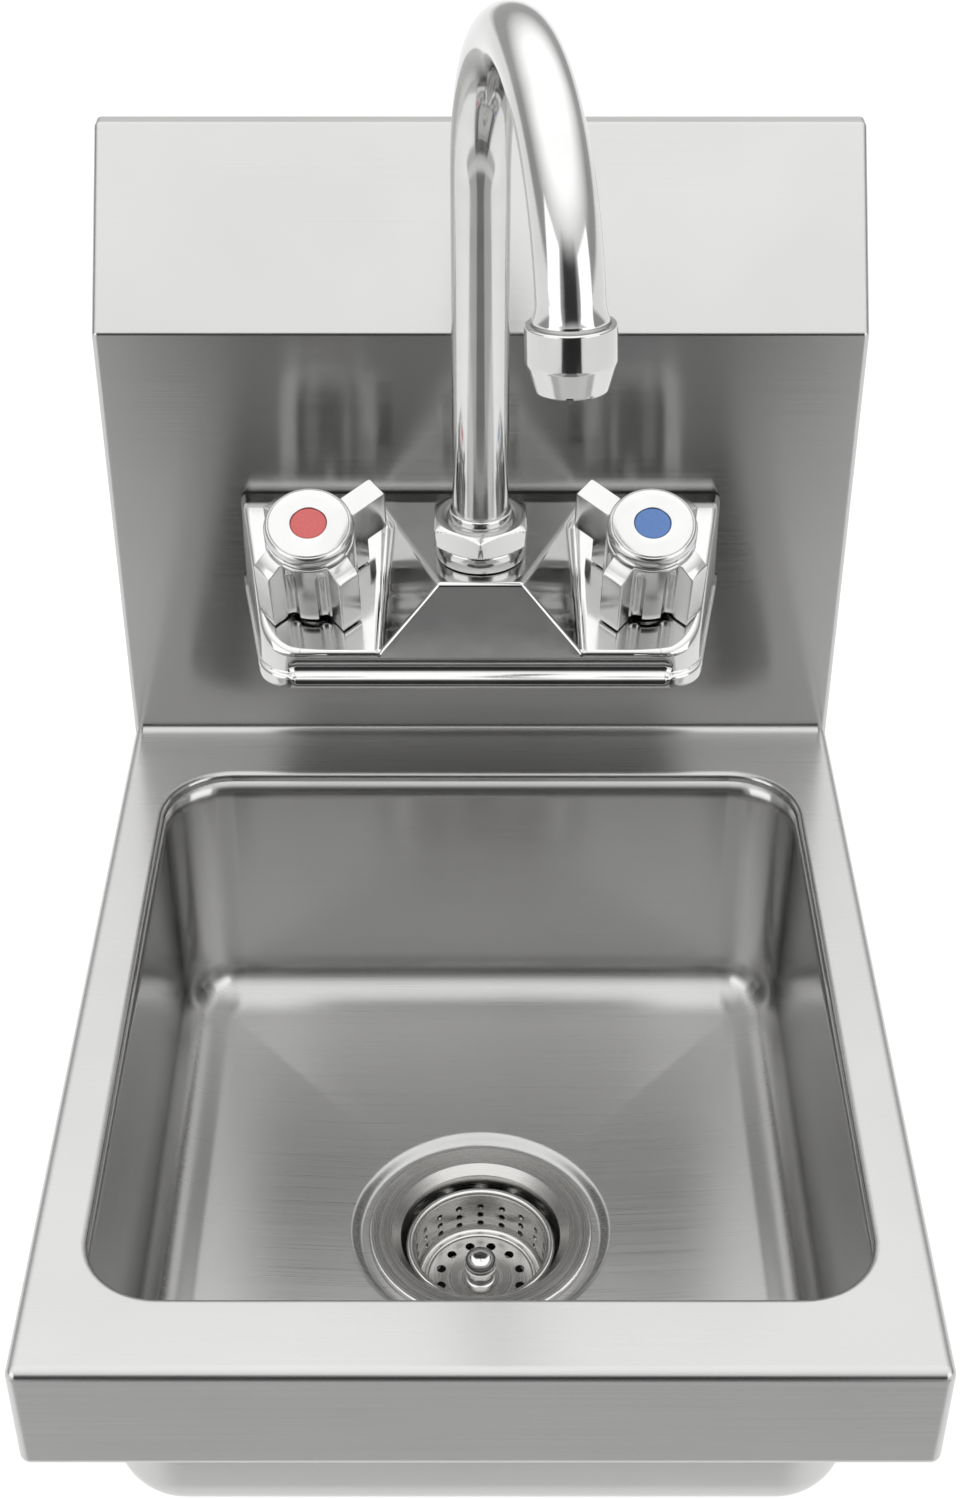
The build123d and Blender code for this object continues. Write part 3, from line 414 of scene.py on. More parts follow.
def bowlSkin(grow):
    # grow = 0 is the inside; the outer skin is the same shape, one sheet further out.
    # Wall: the inset grows evenly with depth. Cove: a quarter circle of radius cove + grow
    depth = bowl["rimZ"] - bowl["floorZ"]
    lean = depth * math.tan(math.radians(bowl["draft"]))
    coveTop, radius = bowl["floorZ"] + bowl["cove"], bowl["cove"] + grow
    wallZ = np.linspace(bowl["rimZ"], coveTop, bowl["wallRows"], endpoint=False)
    t = np.linspace(0, np.pi / 2, bowl["coveRows"])
    insets = (lean * (bowl["rimZ"] - wallZ) / depth - grow, lean + bowl["cove"] - radius * np.cos(t))
    rings = bowlRings(np.concatenate(insets))
    ringZ = np.concatenate([wallZ, coveTop - radius * np.sin(t)])[:, None, None]
    sides = np.concatenate([rings, ringZ + 0 * rings[..., :1]], -1)
    # floor: the last ring shrinks to the recess, and circles go on from there to the hole
    low, high = bowl["recess"]
    reach = np.linalg.norm(rings[-1], axis=1)
    halfX, halfY = np.abs(rings[-1]).max(0)
    inward = np.linspace(0, 1, bowl["floorRows"])[1:, None]
    circles = np.linspace(high + bowl["seatStart"], low - bowl["seatEnd"], bowl["seatRows"])
    circles = np.append(circles, bowl["hole"])[:, None]
    r = np.concatenate([reach + (high + bowl["floorEnd"] - reach) * inward, circles + 0 * reach])
    place = rings[-1] / reach[:, None] * r[..., None]
    # four planes fall from the floor's edge to a level patch; the seat sinks below them in an S
    share = softMax(np.abs(place[..., 0]) / halfX, np.abs(place[..., 1]) / halfY, bowl["crease"])
    start = bowl["patch"] / halfX
    z = bowl["floorZ"] - bowl["fall"] * (1 - np.clip((share - start) / (1 - start), 0, 1))
    seat = bowl["floorZ"] - bowl["fall"] - bowl["recessDepth"]
    z = z + (seat - z) * (1 - smoothStep(low, high, r)) - grow
    return np.concatenate([sides, np.concatenate([place, z[..., None]], -1)])


def makeBowl():
    # down the inside and back up the outside, closed at the rim and at the hole
    both = np.concatenate([bowlSkin(0.0), bowlSkin(bowl["sheet"])[::-1]])
    return gridPiece("bowlPressing", (both + np.array([0, bowlY / mm, 0])) * mm, closeAlong=True)


dress(makeBowl(), "sink", finishes["brushed_sheet"], "brushed_sheet", "bowl")
print("bowl made")


# Basket knob: a smooth curve through the points of its profile, turned about the drain's axis

knob = {
    "profile": (                                 # (radius, height) from the crown down to the waist
        (0, -354.9), (1.8, -354.95), (3.6, -355.3), (5.2, -356.2), (6.3, -357.7), (6.8, -359.6),
        (6.75, -361.4), (6.2, -362.8), (5.3, -363.5), (4.7, -364.1), (4.5, -365.0), (4.5, -366.8),
        (4.75, -368.0), (5.3, -368.8), (6.0, -369.15), (6.0, -369.2),
    ),
    "pin": ((3.0, -369.2), (3.0, -388.8), (0, -388.8)), "columns": 96, "steps": 6,
}


def smoothProfile(points, steps):
    # a cubic through every point, whose slope there is half the chord between its two neighbours
    p = np.array(points, float)
    p = np.concatenate([[2 * p[0] - p[1]], p, [2 * p[-1] - p[-2]]])
    t = np.linspace(0, 1, steps, endpoint=False)[None, :, None]
    a, b, c, d = (p[k:len(p) - 3 + k][:, None] for k in range(4))
    square, cube = 2 * a - 5 * b + 4 * c - d, 3 * b - a - 3 * c + d
    curve = 0.5 * (2 * b + (c - a) * t + square * t ** 2 + cube * t ** 3)
    return np.concatenate([curve.reshape(-1, 2), p[-2:-1]])


def makeKnob():
    # x = r cos a, y = r sin a about the drain's axis
    outline = np.concatenate([smoothProfile(knob["profile"], knob["steps"]), np.array(knob["pin"])])
    place = turnedGrid(np.maximum(outline[:, :1], 0), outline[:, 1:], knob["columns"])
    return gridPiece("basketKnobTurned", (place + np.array([0, bowlY / mm, 0])) * mm)


dress(makeKnob(), "basket", finishes["polished_chrome"], "polished_chrome", "basket_knob")
print("basket knob made")


# Gooseneck: a tube's ring carried up the swivel axis and round the arch

spout = {
    "radius": 10.8, "bore": 9.4, "footZ": -79.9, "archZ": 62.0, "archRadius": 71.8, "turn": 170.0,
    "swing": 11.0, "beadZ": -73.5, "bead": 0.7, "beadSpread": 0.9,
    "flare": 1.6, "flareLength": 7.0, "flareCurve": 2.2, "footLength": 12.0,
    "footRows": 30, "straightRows": 60, "archRows": 150, "columns": 96,
}


def spoutPath():
    # distance s up the upright, then angle t round the arch: ahead = R(1 - cos t), height = archZ + R sin t
    top = spout["archZ"] - spout["footZ"]
    length = top + spout["archRadius"] * math.radians(spout["turn"])
    s = np.concatenate([
        np.linspace(0, spout["footLength"], spout["footRows"], endpoint=False),
        np.linspace(spout["footLength"], top, spout["straightRows"], endpoint=False),
        np.linspace(top, length, spout["archRows"]),
    ])
    t = np.clip((s - top) / spout["archRadius"], 0, None)
    ahead = spout["archRadius"] * (1 - np.cos(t))
    height = np.where(t > 0, spout["archZ"] + spout["archRadius"] * np.sin(t), spout["footZ"] + s)
    return t, ahead, height, length - s


def makeSpout():
    # centre + r (cos a side + sin a outward), where outward = -cos t ahead + sin t up; the radius swells
    # at the foot's bead as a bell curve, and at the end as a power of the distance left
    t, ahead, height, fromEnd = spoutPath()
    swing = math.radians(spout["swing"])
    along = np.array([math.sin(swing), -math.cos(swing), 0])
    side = np.array([math.cos(swing), math.sin(swing), 0])
    up = np.array([0, 0, 1])
    centre = np.array([0, spoutY, 0]) + mm * (ahead[:, None] * along + height[:, None] * up)
    outward = -np.cos(t)[:, None] * along + np.sin(t)[:, None] * up
    flare = spout["flare"] * np.clip(1 - fromEnd / spout["flareLength"], 0, 1) ** spout["flareCurve"]
    bead = spout["bead"] * np.exp(-((height - spout["beadZ"]) / spout["beadSpread"]) ** 2)
    outer = spout["radius"] + flare + bead
    a = np.linspace(0, 2 * np.pi, spout["columns"], endpoint=False)
    ring = np.cos(a)[None, :, None] * side + np.sin(a)[None, :, None] * outward[:, None, :]
    skin = centre[:, None, :] + mm * outer[:, None, None] * ring
    inside = centre[:, None, :] + mm * spout["bore"] * ring
    return gridPiece("gooseneck", np.concatenate([skin, inside[::-1]]), closeAlong=True)


dress(makeSpout(), "spout", finishes["polished_chrome"], "polished_chrome", "spout")
print("gooseneck made")


# Faucet body: a ruled wall that carries the lip and the cove, closed on top by flat faces

body = {
    "backY": -63.5, "frontY": -138.5, "footZ": -136.5, "topZ": -92.0, "halfBack": 99.3, "halfFront": 86.1,
    "cornerLow": 15.0, "cornerTop": 23.0, "frontLean": 5.2, "sideLean": 0.3,
    "lipHeight": 6.0, "lipRound": 2.0, "lipReach": 1.7, "lipReachSide": 0.8, "footEase": 0.4,
    "podTilt": 25.0, "podEdgeY": -72.2, "podInner": 40.3, "ridgeHalf": 16.0,
    "facetDrop": 30.0, "facetInside": 1.2, "grooveY": -79.0, "grooveSink": 3.2, "grooveLip": 0.3,
    "grooveFoot": (3.0, 1.0), "grooveEnd": 0.245, "grooveDip": 0.6,
    "coveRadius": 4.8, "coveHalf": 72.0, "coveUp": 8.6, "coveBite": 2.4, "coveEase": 0.5,
    "bevel": 3.0, "ridgeBevel": 0.5, "podBevel": 0.45, "bevelAngle": 14.0, "bevelGrows": (58.0, 84.0),
    "bevelSteps": 4, "middle": (0.0, -100.0),
    "outerX": (-60.0, -50.0), "grooveX": (0.3, -0.8, -1.6), "facetX": (-34.0, -28.0, -22.0),
    "crownX": (-8.0, 0.0), "sideColumns": 14, "arcColumns": 48, "fanColumns": 44,
    "footRows": (0.0, 0.4, 2.0), "lipRows": 9, "coveFrom": 0.3, "coveTop": 14.0, "coveRows": 34,
}
podColumn = 1                # columns of the half outline: where the pods begin, counted from the wall,
grooveColumn = -9            # the groove's outer lip, foot and inner lip, counted from the middle,
ridgeColumn = -3             # and the end of the ridge
podSlope = math.tan(math.radians(body["podTilt"]))


def bodyPlan(insetSide, insetFront, corner):
    # half outline from the wall to the middle: a straight side, an arc that touches side and front,
    # columns fanned out along the front, and the front's fixed columns
    back = np.array([-(body["halfBack"] - insetSide), body["backY"]])
    tip = np.array([-(body["halfFront"] - insetSide), body["frontY"] + insetFront])
    rearward = np.array([body["halfFront"] - body["halfBack"], body["backY"] - body["frontY"]])
    rearward = rearward / np.linalg.norm(rearward)
    half = math.acos(rearward[0]) / 2
    reach = corner / math.tan(half)
    halfway = rearward + np.array([1, 0])
    centre = tip + halfway / np.linalg.norm(halfway) * corner / math.sin(half)
    start, end = tip + rearward * reach, tip + np.array([reach, 0])
    podEdge = back + (start - back) * (body["podEdgeY"] - back[1]) / (start[1] - back[1])
    first, last = (math.atan2(p[1] - centre[1], p[0] - centre[0]) for p in (start, end))
    turn = np.linspace(first, last, body["arcColumns"])
    arc = centre + corner * np.stack([np.cos(turn), np.sin(turn)], -1)
    groove = [-(body["podInner"] + outside) for outside in body["grooveX"]]
    frontX = np.array([*body["outerX"], *groove, *body["facetX"], -body["ridgeHalf"], *body["crownX"]])
    side = podEdge + (start - podEdge) * np.linspace(0, 1, body["sideColumns"], endpoint=False)[:, None]
    fan = np.linspace(0, 1, body["fanColumns"])[1:-1, None]
    fan = end + (np.array([frontX[0], end[1]]) - end) * fan
    front = np.column_stack([frontX, np.full(len(frontX), end[1])])
    return np.concatenate([back[None], side, arc, fan, front])


def bodyTower(z):
    # the ruled wall at one height per column: low + (high - low) t, t = 0 at mid lip and 1 at the crown
    sideReach, frontReach = body["lipReachSide"], body["lipReach"]
    low = bodyPlan(sideReach, frontReach, body["cornerLow"])
    high = bodyPlan(sideReach + body["sideLean"], frontReach + body["frontLean"], body["cornerTop"])
    lowZ = body["footZ"] + body["lipHeight"] / 2
    t = (z - lowZ) / (body["topZ"] - lowZ)
    return low + (high - low) * t[:, None]


def facetCorners():
    # the left facet's plane: the pod's inner rear corner, the ridge's end, and the foot by the groove
    inner, topZ = body["podInner"], body["topZ"]
    frontY = body["frontY"] + body["lipReach"]
    corner = np.array([-inner, body["podEdgeY"], topZ])
    ridgeEnd = np.array([-body["ridgeHalf"], frontY + body["frontLean"], topZ])
    foot = np.array([-(inner - body["facetInside"]), frontY, topZ - body["facetDrop"]])
    return corner, ridgeEnd, foot


def bodyRim(count, rounds=12):
    # the wall's top edge: level behind, then the pod's tilted plane, the facet's plane inside the groove,
    # and level along the ridge. The wall leans, so point and height settle in a few rounds
    corner, ridgeEnd, foot = facetCorners()
    across = np.cross(ridgeEnd - corner, foot - corner)
    fromMiddle = np.arange(count) - count
    z = np.full(count, body["topZ"])
    for settle in range(rounds):
        x, y = bodyTower(z).T
        pod = body["topZ"] + podSlope * (y - body["podEdgeY"])
        facet = corner[2] - (across[0] * (x - corner[0]) + across[1] * (y - corner[1])) / across[2]
        z = np.where(y > body["podEdgeY"] - 1e-6, body["topZ"], pod)
        z = np.where(fromMiddle >= grooveColumn + 2, facet, z)
        z = np.where(fromMiddle >= ridgeColumn, body["topZ"], z)
    z[grooveColumn + 1] -= body["grooveDip"]
    return np.column_stack([bodyTower(z), z])


def bodyRow(up):
    # the outline at one height over the foot: a lip with a quarter round on top, the tower where it
    # stands further out, and the cove, a bar of radius R laid along the front with ball ends
    lipTop, lipRound = body["lipHeight"], body["lipRound"]
    rise = np.clip((up - lipTop + lipRound) / lipRound, 0, 1)
    inset = lipRound * (1 - math.sqrt(max(0.0, 1 - rise * rise)))
    inset = inset + (body["footEase"] if up == 0 else 0)
    lip = bodyPlan(inset, inset, body["cornerLow"] - inset)
    z = np.full(len(lip), body["footZ"] + up)
    tower = bodyTower(z)
    middle = np.array(body["middle"])
    lipOutside = ((lip - middle) ** 2).sum(1) >= ((tower - middle) ** 2).sum(1)
    point = np.where((lipOutside & (up <= lipTop))[:, None], lip, tower)
    past = np.clip(np.abs(point[:, 0]) - body["coveHalf"], 0, None)
    left = body["coveRadius"] ** 2 - (up - body["coveUp"]) ** 2 - past ** 2
    cut = body["frontY"] + body["lipReach"] - body["coveRadius"] + body["coveBite"]
    cut = cut + np.sqrt(np.clip(left, 0, None))
    point[:, 1] = np.where(left > 0, softMax(point[:, 1], cut, body["coveEase"]), point[:, 1])
    return np.column_stack([point, z])


def groovePoints():
    # free corners of the left groove: the pod's corner, the outer lip, the foot, and a point part of
    # the way along the facet's upper edge
    corner, ridgeEnd = facetCorners()[:2]
    lipZ = body["topZ"] + podSlope * (body["grooveY"] - body["podEdgeY"])
    lip = (-(body["podInner"] + body["grooveLip"]), body["grooveY"], lipZ)
    inside, ahead = body["grooveFoot"]
    foot = (-(body["podInner"] - inside), body["grooveY"] - ahead, lipZ - body["grooveSink"])
    return np.array([corner, lip, foot, corner + body["grooveEnd"] * (ridgeEnd - corner)])


def sideFaces(rim, count, first):
    # pod, facet, the groove's two sides and its two ends, on a rim whose columns start at the wall
    corner, lip, foot, end = range(first, first + 4)
    lipK, ridgeK = count + grooveColumn, count + ridgeColumn
    return [
        rim[podColumn:lipK + 1] + [lip, corner], rim[lipK + 2:ridgeK + 1] + [end],
        rim[lipK:lipK + 2] + [foot, lip], rim[lipK + 1:lipK + 3] + [end, foot],
        [lip, foot, corner], [foot, end, corner],
    ]


def weighRidges(mesh, firstFlat, flatCount):
    # each sharp edge of the flat faces gets its share of the bevel: more along the rim towards the sides,
    # little on the ridges, none against the wall; the underside gets the near-black finish of painted shade
    work = bmesh.new()
    work.from_mesh(mesh)
    work.faces.ensure_lookup_table()
    weight = work.edges.layers.float.new("bevel_weight_edge")
    # the underside face takes the second finish: near-black, painted shade under the body
    work.faces[firstFlat + flatCount + 1].material_index = 1
    for face in work.faces[firstFlat:firstFlat + flatCount]:
        for edge in face.edges:
            middle = (edge.verts[0].co + edge.verts[1].co) / 2 / mm
            isFlat = edge.calc_face_angle(0) < math.radians(body["bevelAngle"])
            if isFlat or middle.y > body["backY"] - 0.5:
                continue
            onRim = any(other.index < firstFlat for other in edge.link_faces)
            side = float(smoothStep(*body["bevelGrows"], abs(middle.x)))
            rimBevel = body["podBevel"] + (1 - body["podBevel"]) * side
            edge[weight] = rimBevel if onRim else body["ridgeBevel"]
    bmesh.ops.recalc_face_normals(work, faces=list(work.faces))
    work.to_mesh(mesh)
    work.free()


def makeFaucetBody():
    # rows of the left half from foot to rim, mirrored in X, then pods, facets, grooves, crown, rear and
    # underside as flat faces; the two modifiers round the ridges and even the shading
    lipTop, lipRound = body["lipHeight"], body["lipRound"]
    quarter = 1 - np.sin(np.linspace(0, np.pi / 2, body["lipRows"]))
    coveRows = np.linspace(lipTop + body["coveFrom"], body["coveTop"], body["coveRows"])
    heights = np.concatenate([body["footRows"], lipTop - lipRound * quarter, coveRows])
    half = [bodyRow(up) for up in heights]
    count = len(half[0])
    half = np.array(half + [bodyRim(count)])
    flip = np.array([-1, 1, 1])
    wall = np.concatenate([half, half[:, -2::-1] * flip], 1)
    levels, columns = wall.shape[:2]
    number = np.arange(levels * columns).reshape(levels, columns)
    rim = number[-1].tolist()
    corners = (number[:-1, :-1], number[:-1, 1:], number[1:, 1:], number[1:, :-1])
    sides = np.stack(corners, -1).reshape(-1, 4).tolist()
    left, right = number.size, number.size + 4
    flat = sideFaces(rim, count, left)
    flat += [face[::-1] for face in sideFaces(rim[::-1], count, right)]
    ridgeK = count + ridgeColumn
    crown = [rim[-1], rim[-1 - podColumn], right, right + 3] + rim[ridgeK:columns - ridgeK][::-1]
    flat.append(crown + [left + 3, left, rim[podColumn], rim[0]])
    rear = number[:, 0].tolist() + number[::-1, -1].tolist()
    vertices = np.concatenate([wall.reshape(-1, 3), groovePoints(), groovePoints() * flip])
    built = addMesh("faucetCasting", vertices * mm, sides + flat + [rear, number[0].tolist()])
    weighRidges(built.data, len(sides), len(flat))
    for face in built.data.polygons:
        face.use_smooth = True
    bevel = built.modifiers.new("roundRidges", "BEVEL")
    bevel.limit_method = "WEIGHT"
    bevel.width = body["bevel"] * mm
    bevel.segments = body["bevelSteps"]
    bevel.use_clamp_overlap = False
    bevel.harden_normals = False
    evenShade(built)
    return built


casting = makeFaucetBody()
dress(casting, "sink", finishes["polished_chrome"], "polished_chrome", "faucet_body")
# the second finish, near-black and matt, is painted shade on the body's downward face, which looks away
# from the light
casting.data.materials.append(plainFinish("paintedShadeUnderside", (0.05, 0.05, 0.05), 0.0, 0.8, 300.0))
print("faucet body made")


# Handles and nut: a radius that depends on the angle and the height, carried round an axis

polar = {"columns": 720}
handle = {
    "place": (65.5, -108.0), "tilt": 25.0, "gap": 1.3, "barrelGap": 3.4, "barrel": 17.4,
    "lobe": 24.0, "lobeHalf": 4.6, "lobeTop": 34.0, "lobeEase": 0.7, "rootEase": 0.8,
    "lobeFoot": (17.2, 19.0), "shoulder": 38.0, "bevelFrom": 18.6,
    "lever": 33.4, "leverTop": 39.2, "leverUnder": 16.5, "leverAngle": 140.0, "leverEase": 0.4,
    "leverRoot": (17.6, 20.0), "leverLonger": (0.2, 2.0),
    "flute": 2.6, "fluteAt": 18.4, "fluteTurn": 25.0, "fluteEase": 0.35,
    "round": 0.9, "roundSteps": 6, "sideTop": 33.05, "cavity": 13.8, "cavityTop": 24.0, "cavityEase": 0.4,
    "footRound": ((-0.7, 0.0), (-0.2, 0.15), (0.0, 0.6)),    # (past the radius, over the foot)
    "lowRows": (0.3, 0.6, 0.9),                              # shares of the way from foot to lever
    "sideRows": (20.0, 25.0, 29.0, 31.0, 31.7, 32.1, 32.5, 32.8, 33.0),
    "topRows": (30.0, 26.0, 22.0, 18.6, 17.8, 16.9),
    "cap": (                                                 # (radius, height): neck, rim, top, recess
        (16.6, 38.05), (16.1, 38.3), (15.75, 38.9), (15.7, 39.5), (15.9, 40.1), (16.5, 40.5),
        (17.1, 41.0), (17.35, 41.8), (17.3, 42.8), (17.05, 43.7), (16.6, 44.5), (16.1, 45.0),
        (15.85, 45.15), (15.7, 45.1), (15.6, 44.75), (15.5, 44.7), (15.4, 44.75), (15.3, 45.35),
        (15.1, 45.45), (11.0, 45.47), (7.3, 45.5), (7.08, 45.4), (7.05, 45.2), (7.05, 43.5), (0.0, 43.5),
    ),
}


def polarPiece(name, rows, place, closeAlong=False):
    # rows of (radius, height), each a number or one value per column; place takes them to the part
    blank = np.zeros(polar["columns"])
    radius, height = (np.array([row[k] + blank for row in rows]) for k in (0, 1))
    return gridPiece(name, place(turnedGrid(radius, height, polar["columns"]) * mm), closeAlong)


def handleRows():
    # the radius at an angle is the larger of the fluted barrel and a bar that points along the lobe
    a = np.linspace(0, 2 * np.pi, polar["columns"], endpoint=False)
    leverAngle = math.radians(handle["leverAngle"])
    fromLobe = (a - leverAngle + np.pi / 4) % (np.pi / 2) - np.pi / 4
    fromLever = (a - leverAngle + np.pi) % (2 * np.pi) - np.pi
    isLever = np.abs(fromLever) < np.pi / 4

    def arm(length):
        # a flat ended bar as seen from the axis: the nearer of its end and its sides
        sides = handle["lobeHalf"] / np.maximum(np.abs(np.sin(fromLobe)), 1e-3)
        return softMin(length / np.cos(fromLobe), sides, handle["lobeEase"])

    def barrel(height):
        # a round barrel with a groove each side of a lobe: the near side of a circle, which ends in a ball
        above = np.clip(height - handle["lobeTop"] + handle["flute"], 0, handle["flute"])
        size = np.sqrt(handle["flute"] ** 2 - above ** 2)
        away = np.abs(np.abs(fromLobe) - math.radians(handle["fluteTurn"]))
        inside = np.clip(size ** 2 - (handle["fluteAt"] * np.sin(away)) ** 2, 0, None)
        bottom = handle["fluteAt"] * np.cos(away) - np.sqrt(inside)
        bottom = np.where(inside > 0, bottom, 99.0)
        return softMin(np.full_like(a, handle["barrel"]), bottom, handle["fluteEase"])

    def radiusAt(height, reach):
        return softMax(barrel(height), reach, handle["rootEase"])

    short = arm(handle["lobe"])
    long = np.where(isLever, arm(handle["lever"]), short)
    gapStep = handle["gap"] - handle["barrelGap"]
    foot = handle["barrelGap"] + gapStep * smoothStep(*handle["lobeFoot"], short)
    leverMask = smoothStep(*handle["leverRoot"], long) * isLever
    fall = (handle["shoulder"] - handle["lobeTop"]) / (handle["lobe"] - handle["bevelFrom"])

    def topAt(radius):
        # level shoulder, bevelled down over the lobes; the lever's top is level and higher
        bevelled = handle["shoulder"] - fall * np.clip(radius - handle["bevelFrom"], 0, None)
        return bevelled + (handle["leverTop"] - bevelled) * leverMask

    # cavity, foot and lower barrel
    cavity, roof, lip = handle["cavity"], handle["cavityTop"], handle["cavityEase"]
    rows = [(0.0, roof), (cavity, roof), (cavity, foot + lip), (cavity + lip, foot)]
    start = radiusAt(foot, short)
    rows += [(start + past, foot + up) for past, up in handle["footRound"]]
    under = handle["leverUnder"]
    heights = [foot + (under - foot) * share for share in handle["lowRows"]]
    rows += [(radiusAt(height, short), height) for height in heights]
    # the lever's underside, whose lower edge is eased where it stands out, and the sides
    ease = handle["leverEase"] * smoothStep(*handle["leverLonger"], long - short)
    rows += [(radiusAt(under, short), under), (radiusAt(under, long) - ease, under)]
    rows += [(radiusAt(under, long), under + handle["leverEase"])]
    rows += [(radiusAt(height, long), height) for height in handle["sideRows"]]
    # the upper edge rounds in as a quadratic curve from the side over the corner to the top
    outer = radiusAt(handle["lobeTop"], long)
    corner, edge = topAt(outer), handle["round"]
    drop = np.minimum(edge, corner - handle["sideTop"])
    for t in np.linspace(0, 1, handle["roundSteps"]):
        z = (1 - t) ** 2 * (corner - drop) + 2 * t * (1 - t) * corner + t * t * topAt(outer - edge)
        rows.append((outer - edge * t * t, z))
    for radius in handle["topRows"]:
        r = np.minimum(outer - edge - 0.05, radius)
        rows.append((r, topAt(r)))
    # the cap, whose neck stays outside the lever's level top
    return rows + [(r, np.maximum(z, handle["leverTop"] * leverMask)) for r, z in handle["cap"]]


def makeHandle(name, side):
    # the rows stand on the pod's plane, square to it: foot + x X + y (axis cross X) + z axis, and the hot
    # side is the mirror image
    tilt = math.radians(handle["tilt"])
    axis = np.array([0, -math.sin(tilt), math.cos(tilt)])
    across = np.array([1.0, 0.0, 0.0])
    upward = np.cross(axis, across)
    x, y = handle["place"]
    foot = np.array([x, y, body["topZ"] + podSlope * (y - body["podEdgeY"])]) * mm

    def place(local):
        tilted = local[..., :1] * across + local[..., 1:2] * upward + local[..., 2:] * axis
        return (foot + tilted) * np.array([side, 1, 1])

    return polarPiece(name, handleRows(), place)


for label, side in (("hot", -1), ("cold", 1)):
    shell = makeHandle("handleShell_" + label, side)
    dress(shell, "handle_" + label, finishes["handle_chrome"], "polished_chrome", "handle_" + label)
print("handles made")


nut = {
    "low": -91.6, "flats": 35.8, "cornerEase": 0.25, "flangeTop": 7.0, "flangeGap": 0.05, "top": 16.4,
    "chamfer": 2.0, "chamferFoot": 17.7, "chamferTop": 17.6,
    "up": (0.0, 0.3, 0.6, 0.9, 1.2, 1.6), "down": (1.7, 1.4, 1.1, 0.8, 0.5, 0.25, 0.0),
    "flange": (                                  # (radius, height) from the bore's foot to the hexagon
        (14.0, 0.0), (17.3, 0.0), (17.75, 0.15), (17.9, 0.6), (17.9, 6.2), (17.75, 6.7), (17.5, 7.0),
    ),
    "collar": (                                  # (radius, height): nut's top, collar, bore and its recess
        (17.3, 16.5), (16.9, 16.55), (12.9, 16.55), (12.7, 16.4), (12.65, 15.9), (12.3, 15.9),
        (12.2, 16.1), (12.2, 18.7), (12.0, 19.25), (11.7, 19.5), (11.4, 19.5), (11.4, 14.0), (14.0, 13.0),
    ),
}


def makeNut():
    # hexagon seen from its axis: half the flats over cos of the angle to the nearest flat, corners eased;
    # a chamfer is the smaller of that and a cone
    a = np.linspace(0, 2 * np.pi, polar["columns"], endpoint=False)
    toFlat = np.abs((a + np.pi / 6) % (np.pi / 3) - np.pi / 6)
    halfFlats = nut["flats"] / 2
    nextFlat = halfFlats / np.cos(np.pi / 3 - toFlat)
    hexagon = softMin(halfFlats / np.cos(toFlat), nextFlat, nut["cornerEase"])
    rows = list(nut["flange"])
    for up in nut["up"]:
        cone = nut["chamferFoot"] + nut["chamfer"] * up
        rows.append((np.minimum(hexagon, cone), nut["flangeTop"] + nut["flangeGap"] + up))
    for down in nut["down"]:
        cone = nut["chamferTop"] + nut["chamfer"] * down
        rows.append((np.minimum(hexagon, cone), nut["top"] - down))
    rows += nut["collar"]
    centre = np.array([0, spoutY, nut["low"] * mm])
    return polarPiece("spoutNutShell", rows, lambda local: local + centre, closeAlong=True)


dress(makeNut(), "sink", finishes["polished_chrome"], "polished_chrome", "spout_nut")
print("spout nut made")


# Camera, light and floor: measures in metres and picture pixels

view = {
    "place": (0.0, -0.8762, 0.3809), "down": 36.57, "focus": 2285.7, "width": 966.0, "height": 1499.0,
    "centreU": 480.5, "sensor": 36.0,
}


def makeCamera():
    # lens = sensor x focal length in pixels / picture height
    data = bpy.data.cameras.new("camera")
    data.sensor_fit = "VERTICAL"
    data.sensor_height = view["sensor"]
    data.sensor_width = view["sensor"]
    data.lens = view["sensor"] * view["focus"] / view["height"]
    data.shift_x = (view["width"] / 2 - view["centreU"]) / view["height"]
    camera = linkNew("camera", data)
    camera.location = view["place"]
    camera.rotation_euler = (math.radians(90 - view["down"]), 0, 0)
    bpy.context.scene.camera = camera


studio = {
    "horizon": 0.42, "zenith": 1.70, "rise": (0.30, 0.80), "behind": 1.18, "behindFrom": (0.3, 0.6),
    "wall": 0.86, "wallBelt": (0.02, 0.06), "aheadFrom": (-0.5, -0.2),
    "gapLight": 0.05, "gapWidth": (0.30, 0.42), "gapTop": (0.36, 0.58),
}


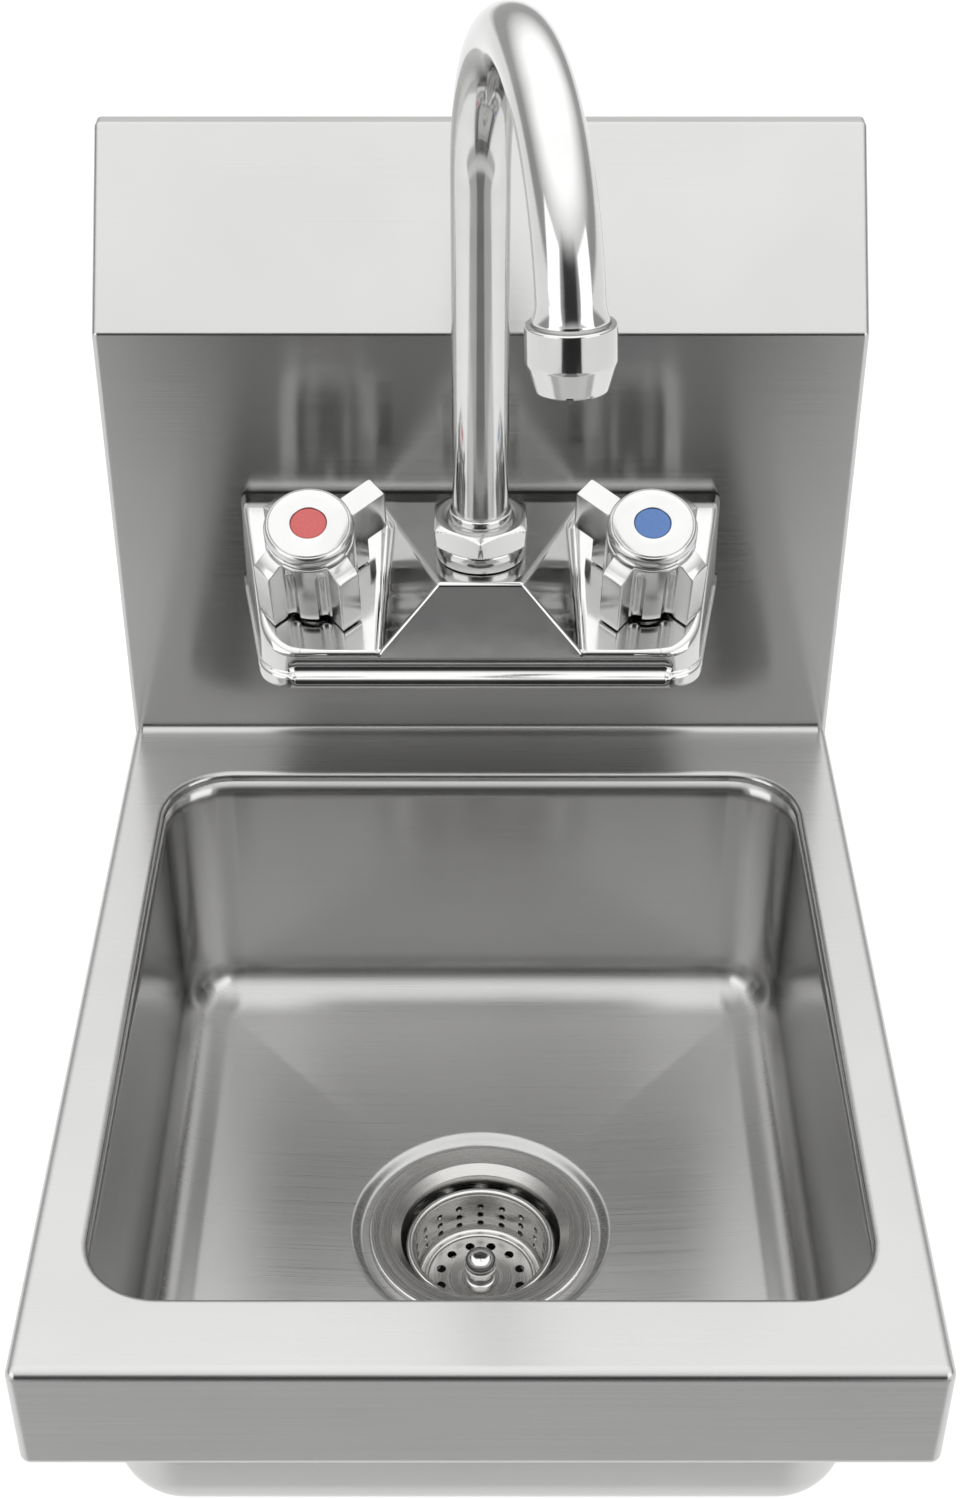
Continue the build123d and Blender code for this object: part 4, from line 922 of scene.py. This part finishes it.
def makeWorld():
    # one soft room for every ray: its light climbs with the direction's height (dir z), is pale
    # in a thin belt at the horizon, and dim in a narrow gap straight ahead of the sink
    world = bpy.data.worlds.new("studio")
    world.use_nodes = True
    bpy.context.scene.world = world
    nodes, links = world.node_tree.nodes, world.node_tree.links
    place = nodes.new("ShaderNodeTexCoord")
    split = nodes.new("ShaderNodeSeparateXYZ")
    links.new(place.outputs["Generated"], split.inputs[0])
    sideways, depthways, upward = split.outputs
    dome = spread(nodes, links, upward, studio["horizon"], studio["zenith"], *studio["rise"])
    belt = spread(nodes, links, upward, 1.0, 0.0, *studio["wallBelt"])
    offMiddle = math2(nodes, links, "ABSOLUTE", sideways)
    narrow = spread(nodes, links, offMiddle, 1.0, 0.0, *studio["gapWidth"])
    ahead = spread(nodes, links, depthways, 1.0, 0.0, *studio["aheadFrom"])
    low = spread(nodes, links, upward, 1.0, 0.0, *studio["gapTop"])
    gap = math2(nodes, links, "MULTIPLY", math2(nodes, links, "MULTIPLY", narrow, ahead), low)
    belt = math2(nodes, links, "MULTIPLY", belt, math2(nodes, links, "SUBTRACT", 1.0, ahead))
    behind = spread(nodes, links, depthways, 1.0, studio["behind"], *studio["behindFrom"])
    dome = math2(nodes, links, "MULTIPLY", dome, behind)
    room = mixValues(nodes, links, belt, dome, studio["wall"])
    room = mixValues(nodes, links, gap, room, studio["gapLight"])
    combine = nodes.new("ShaderNodeCombineColor")
    for socket in combine.inputs:
        links.new(room, socket)
    links.new(combine.outputs[0], nodes["Background"].inputs["Color"])
    nodes["Background"].inputs["Strength"].default_value = 1.0


softBoxes = {
    "target": (0.0, -0.15, -0.05), "width": 1.45, "height": 1.15, "radiance": 1.45,
    "places": {"leftBox": (-1.55, -1.45, 0.42), "rightBox": (1.55, -1.45, 0.42)},
}


def makeSoftBox(name, place):
    # radiance times area times pi gives the lamp's power
    data = bpy.data.lights.new(name, "AREA")
    data.shape = "RECTANGLE"
    data.size, data.size_y = softBoxes["width"], softBoxes["height"]
    data.energy = softBoxes["radiance"] * softBoxes["width"] * softBoxes["height"] * math.pi
    lamp = linkNew(name, data)
    aim = Vector(softBoxes["target"]) - Vector(place)
    lamp.location = place
    lamp.rotation_euler = aim.to_track_quat("-Z", "Y").to_euler()
    lamp.visible_camera = False


stage = {
    "floorZ": -0.85, "floorHalf": 60.0, "floorGrey": 0.84,
    "cardFoot": -0.95, "cardSlope": 0.2,
    "cards": {                                   # left, right, far edge, near edge, grey
        "nearCard": (-1.1, 1.1, 0.95, 0.75, 0.43), "middleCard": (-1.1, 1.1, 1.2, 0.95, 0.56),
        "farCard": (-0.36, 0.36, 2.2, 1.2, 0.16), "farLeftCard": (-1.1, -0.36, 2.2, 1.2, 0.38),
        "farRightCard": (0.36, 1.1, 2.2, 1.2, 0.38),
    },
    "screenHalf": 1.2, "screenY": -3.0, "screenTop": 0.3, "screenGrey": 0.03,
    "rough": 0.95,
}


def plainStage(name, corners, grey, seen=False):
    # a matt sheet; those that aren't the floor only show in the metal, and cast no shadow
    sheet = addMesh(name, np.array(corners, float), [[0, 1, 2, 3]])
    material = bpy.data.materials.new(name)
    material.use_nodes = True
    shader = material.node_tree.nodes["Principled BSDF"]
    shader.inputs["Base Color"].default_value = (grey, grey, grey, 1)
    shader.inputs["Roughness"].default_value = stage["rough"]
    shader.inputs["Specular IOR Level"].default_value = 0.0
    sheet.data.materials.append(material)
    sheet.visible_camera = seen
    sheet.visible_shadow = seen


def makeStage():
    # the floor, grey cards in front of the sink, which slope up and away, and a dark screen behind them
    half, z = stage["floorHalf"], stage["floorZ"]
    floor = [(-half, -half, z), (half, -half, z), (half, half, z), (-half, half, z)]
    plainStage("floor", floor, stage["floorGrey"], seen=True)
    for name, (left, right, far, near, grey) in stage["cards"].items():
        low, high = (stage["cardFoot"] + stage["cardSlope"] * away for away in (near, far))
        card = [(left, -far, high), (right, -far, high), (right, -near, low), (left, -near, low)]
        plainStage(name, card, grey)
    half, y, top = stage["screenHalf"], stage["screenY"], stage["screenTop"]
    screen = [(-half, y, z), (half, y, z), (half, y, top), (-half, y, top)]
    plainStage("darkScreen", screen, stage["screenGrey"])


makeCamera()
makeWorld()
for name, place in softBoxes["places"].items():
    makeSoftBox(name, place)
makeStage()
bpy.context.scene.view_settings.view_transform = "Standard"
print("camera, light and floor set")
